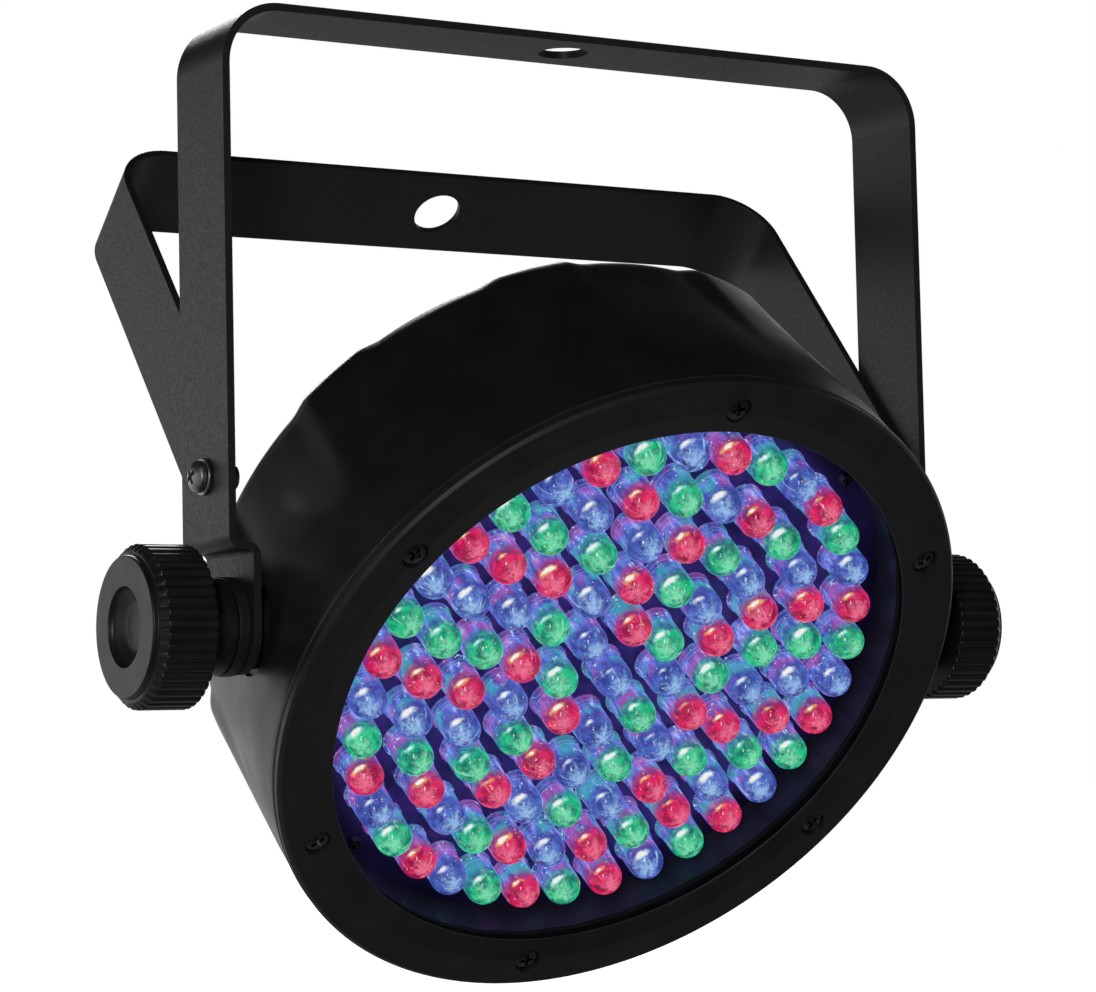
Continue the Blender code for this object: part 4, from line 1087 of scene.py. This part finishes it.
def data_sockets():
    """The two round data sockets: pins in the inlet, a groove and contact holes in the outlet."""
    back = COVER_BACK_Z
    contacts = [polar(4.6 * MM, degrees) for degrees in (90, 210, 330)]
    for side, word in ((-1, "in"), (1, "out")):
        x = side * SOCKET_X
        mesh = flange_plate(26 * MM, 31 * MM, 2.5 * MM, 1.6 * MM, x, SOCKET_Y)
        core = upright(SOCKET_R, x, SOCKET_Y, back - 1 * MM, back + 19 * MM, 64)
        mesh = carved(mesh, [core], "UNION")
        if side < 0:
            cutters = [upright(9.2 * MM, x, SOCKET_Y, back - 4 * MM, back + 13 * MM, 64)]
        else:
            groove = revolve([
                (8.2 * MM, back + 5 * MM), (10.4 * MM, back + 5 * MM),
                (10.4 * MM, back - 4 * MM), (8.2 * MM, back - 4 * MM),
            ], 64)
            cutters = [moved(groove, at(x, SOCKET_Y))]
            for dx, dy in contacts:
                cutters.append(upright(1.4 * MM, x + dx, SOCKET_Y + dy, back - 4 * MM, back + 6 * MM, 24))
        for dx, dy in ((-9.5 * MM, 12 * MM), (9.5 * MM, -12 * MM)):
            cutters.append(upright(1.5 * MM, x + dx, SOCKET_Y + dy, back - 4 * MM, back - 1 * MM, 24))
        mesh = edged(carved(mesh, cutters), 0.3 * MM, 2, 40.0)
        node = f"data_{word}_socket"
        can_piece(node + "_shell", mesh, NYLON, [node])
        if side < 0:
            profile = mm_path((0, 0, 0), (1.2, 0, 0.8), (1.2, -11.5, 0), (0, -11.5, 0), closed=False)
            pins = []
            for dx, dy in contacts:
                foot = at(x + dx, SOCKET_Y + dy, back + 2.0 * MM)
                pins.append(moved(revolve(profile, 24), foot @ turned(math.pi, "X")))
            can_piece("data_in_pins", together(pins), ZINC)


def display():
    """The display's dark glass, and its lit and unlit bars."""
    width, height = DISPLAY_SIZE
    low, high, _ = extents("display_window", CAN)
    mesh = edged(block(width, height, low, high, 0.0, DISPLAY_Y), 0.3 * MM)
    can_piece("display_glass", mesh, SMOKED, ["display_window"])

    bars = {
        "a": (0, 1), "b": (1, 0.5), "c": (1, -0.5), "d": (0, -1),
        "e": (-1, -0.5), "f": (-1, 0.5), "g": (0, 0),
    }
    lit = ["abcdef", "abcdef", "bc", "abcdef"]  # the digits, from the reader's left
    half_w, half_h = 2.5 * MM, 4.6 * MM
    shown = {True: [], False: []}
    for k, on in enumerate(lit):
        x = (1.5 - k) * 8.6 * MM
        for bar, (i, j) in bars.items():
            level = i == 0
            length = (2 * half_w if level else half_h) - 0.9 * MM
            size = (length, 0.8 * MM) if level else (0.8 * MM, length)
            mesh = prism(round_box(*size, 0.35 * MM, 30.0), -0.06 * MM, 0.06 * MM)
            shown[bar in on].append(moved(mesh, at(x - i * half_w, DISPLAY_Y + j * half_h, low - 0.02 * MM)))
    red = Finish(
        "bar_lit", base_color=(0.3, 0.01, 0.01), roughness=0.4,
        emission_color=(1.0, 0.06, 0.03), emission_strength=1.6,
    )
    dark = Finish("bar_dark", base_color=(0.035, 0.015, 0.015), roughness=0.4)
    for on, word, look in ((True, "lit", red), (False, "dark", dark)):
        can_piece("display_bars_" + word, together(shown[on]), look.material)


def buttons():
    """The four push buttons, and the symbols printed below them."""
    back = COVER_BACK_Z
    flange = BUTTON_PROUD + (COVER_FRONT_Z - back) + GAP
    wide = BUTTON_R + 1.2 * MM
    tail = 10.4 * MM
    profile = rounded([
        (0.0, tail, 0.0), (2.5 * MM, tail, 0.0), (wide, flange + 1.0 * MM, 0.0), (wide, flange, 0.0),
        (BUTTON_R, flange, 0.0), (BUTTON_R, 0.0, 0.6 * MM), (BUTTON_R * 0.8, 0.0, 0.0),
        (0.0, 0.25 * MM, 0.0),
    ], 15.0, closed=False)
    arrow = 3.2 * MM
    triangle = [(arrow * 0.5, -arrow * 0.35), (0.0, arrow * 0.5), (-arrow * 0.5, -arrow * 0.35)]
    marks = []
    for k, name in enumerate(BUTTONS):
        x = (k - 1.5) * BUTTON_PITCH
        mesh = moved(revolve(profile, 40), CAN @ at(x, BUTTON_Y, back - BUTTON_PROUD))
        node = "button_" + name
        piece(node + "_cap", mesh, BUTTON_NYLON, node, [node])
        where = at(x, BUTTON_Y - 8.2 * MM, back)
        if name in ("up", "down"):
            flip = turned(math.pi if name == "down" else 0.0)
            marks.append(moved(prism(triangle, -MARK, MARK), where @ flip))
        elif name == "menu":
            for row in (-1, 0, 1):
                line = prism(round_box(3.4 * MM, 0.5 * MM, 0.1 * MM), -MARK, MARK)
                marks.append(moved(line, where @ at(0, row * 1.1 * MM)))
        else:
            marks.append(moved(ring_mark(1.2 * MM, 1.7 * MM, MARK), where))
    can_piece("button_symbols", together(marks), SYMBOL)


# --- CAD nodes that stay ---
def dress_nodes():
    """Procedural materials for the inner pieces, whose CAD shapes are right as they are."""
    looks = {
        "chassis_plate": BLACK_OXIDE, "power_supply": BOARD_GREEN, "control_board": BOARD_GREEN,
        "microphone": ZINC, "window_gasket": RUBBER, "light_baffle": DRUM, "led_board": BOARD_BLACK,
        "knob_stud_left": ZINC, "knob_stud_right": ZINC,
        "thread_insert_left": BRASS, "thread_insert_right": BRASS,
    }
    for k in range(1, 5):
        looks[f"board_standoff_{k}"] = BRASS
        looks[f"board_screw_{k}"] = BLACK_OXIDE
    for name, look in looks.items():
        for entry in frame["nodes"][name].material_slots:
            entry.material = look


# --- stage, lights and camera ---
def flat_light(name, size, energy, offset):
    """A flat light this far from the middle of the lamp, turned towards it."""
    data = bpy.data.lights.new(name, "AREA")
    data.shape = "RECTANGLE"
    data.size, data.size_y = size
    data.energy = energy
    lamp = added(name, data)
    lamp.location = KNOB_AXIS + offset
    lamp.rotation_euler = (-offset).to_track_quat("-Z", "Y").to_euler()
    lamp.visible_camera = False


def stage_piece(name, mesh, look):
    """Part of the stage, which the camera sees but the lamp neither mirrors nor takes light from."""
    mesh.materials.append(look.material)
    thing = added(name, mesh)
    thing.visible_diffuse = False
    thing.visible_glossy = False
    thing.visible_transmission = False
    return thing


def stage():
    """Pale floor under the lamp, and a white surround behind it."""
    white = (1.0, 1.0, 1.0)
    pale = Finish(
        "pale_floor", base_color=(0.86, 0.86, 0.86), roughness=0.9,
        emission_color=white, emission_strength=0.95,
    )
    floor = stage_piece("floor", prism([polar(6.0, 4 * k) for k in range(90)], -0.01, 0.0), pale)
    floor.location.z = CAD_BOX[0].z - 25 * MM

    glow = Finish(
        "surround", base_color=(0.0, 0.0, 0.0), specular_ior_level=0.0,
        emission_color=white, emission_strength=1.0,
    )
    work = bmesh.new()
    bmesh.ops.create_icosphere(work, subdivisions=5, radius=7.0)
    surround = stage_piece("surround", mesh_of(work), glow)
    surround.visible_shadow = False


def studio_sky():
    """A soft band of light round the horizon, brightest behind the object and higher on its right."""
    world = bpy.data.worlds.new("studio")
    world.use_nodes = True
    world.node_tree.nodes.clear()
    sky = Nodes(world.node_tree)
    x, y, z = sky.split(sky.node("TexCoord").outputs["Generated"])
    height = sky.plus(z, sky.between(x, 0.2, 0.6, 0.0, -0.2))
    below = sky.between(height, -0.45, 0.0, 0.30, 1.0)
    above = sky.between(height, 0.08, 0.36, 1.0, 0.02)
    behind = sky.between(y, -0.6, 0.7, 0.10, 0.78)
    back = sky.node("Background")
    sky.put(back.inputs, ((1.0, 1.0, 1.0), sky.times(sky.times(below, above), behind)))
    sky.link(back.outputs[0], sky.node("OutputWorld").inputs["Surface"])
    bpy.context.scene.world = world


def camera():
    """The photograph's camera, fitted to it, and placed from the knob axis."""
    azimuth = math.radians(30.86)
    pitch = math.radians(4.27)
    roll = math.radians(-1.24)
    distance = 867.4 * MM
    aside, rise = -7.28 * MM, 34.46 * MM
    level = math.cos(pitch)
    ahead = Vector((math.sin(azimuth) * level, math.cos(azimuth) * level, math.sin(pitch)))
    right = Vector((math.cos(azimuth), -math.sin(azimuth), 0.0))
    up = right.cross(ahead)
    right, up = right * math.cos(roll) + up * math.sin(roll), up * math.cos(roll) - right * math.sin(roll)
    data = bpy.data.cameras.new("camera")
    data.sensor_width = 36.0
    data.lens = 108.03
    data.clip_end = 50.0
    view = added("camera", data)
    place = Matrix((right, up, -ahead)).transposed().to_4x4()
    place.translation = KNOB_AXIS - ahead * distance + right * aside + up * rise
    view.matrix_world = place
    bpy.context.scene.camera = view


def build():
    front_bracket()
    rear_bracket()
    pivots()
    drum()
    bezel()
    window()
    leds()
    knobs()
    rear_cover()
    mains_inlet()
    rocker_switch()
    data_sockets()
    display()
    buttons()
    dress_nodes()
    stage()
    studio_sky()
    camera()
    flat_light("key", (0.16, 0.5), 3.4, 1.3 * Vector((-0.6, -0.8, 0.1)))
    flat_light("rear", (0.6, 0.6), 8.0, 1.5 * Vector((0.26, 0.82, 0.51)))
    bpy.context.scene.view_settings.view_transform = "Standard"


build()
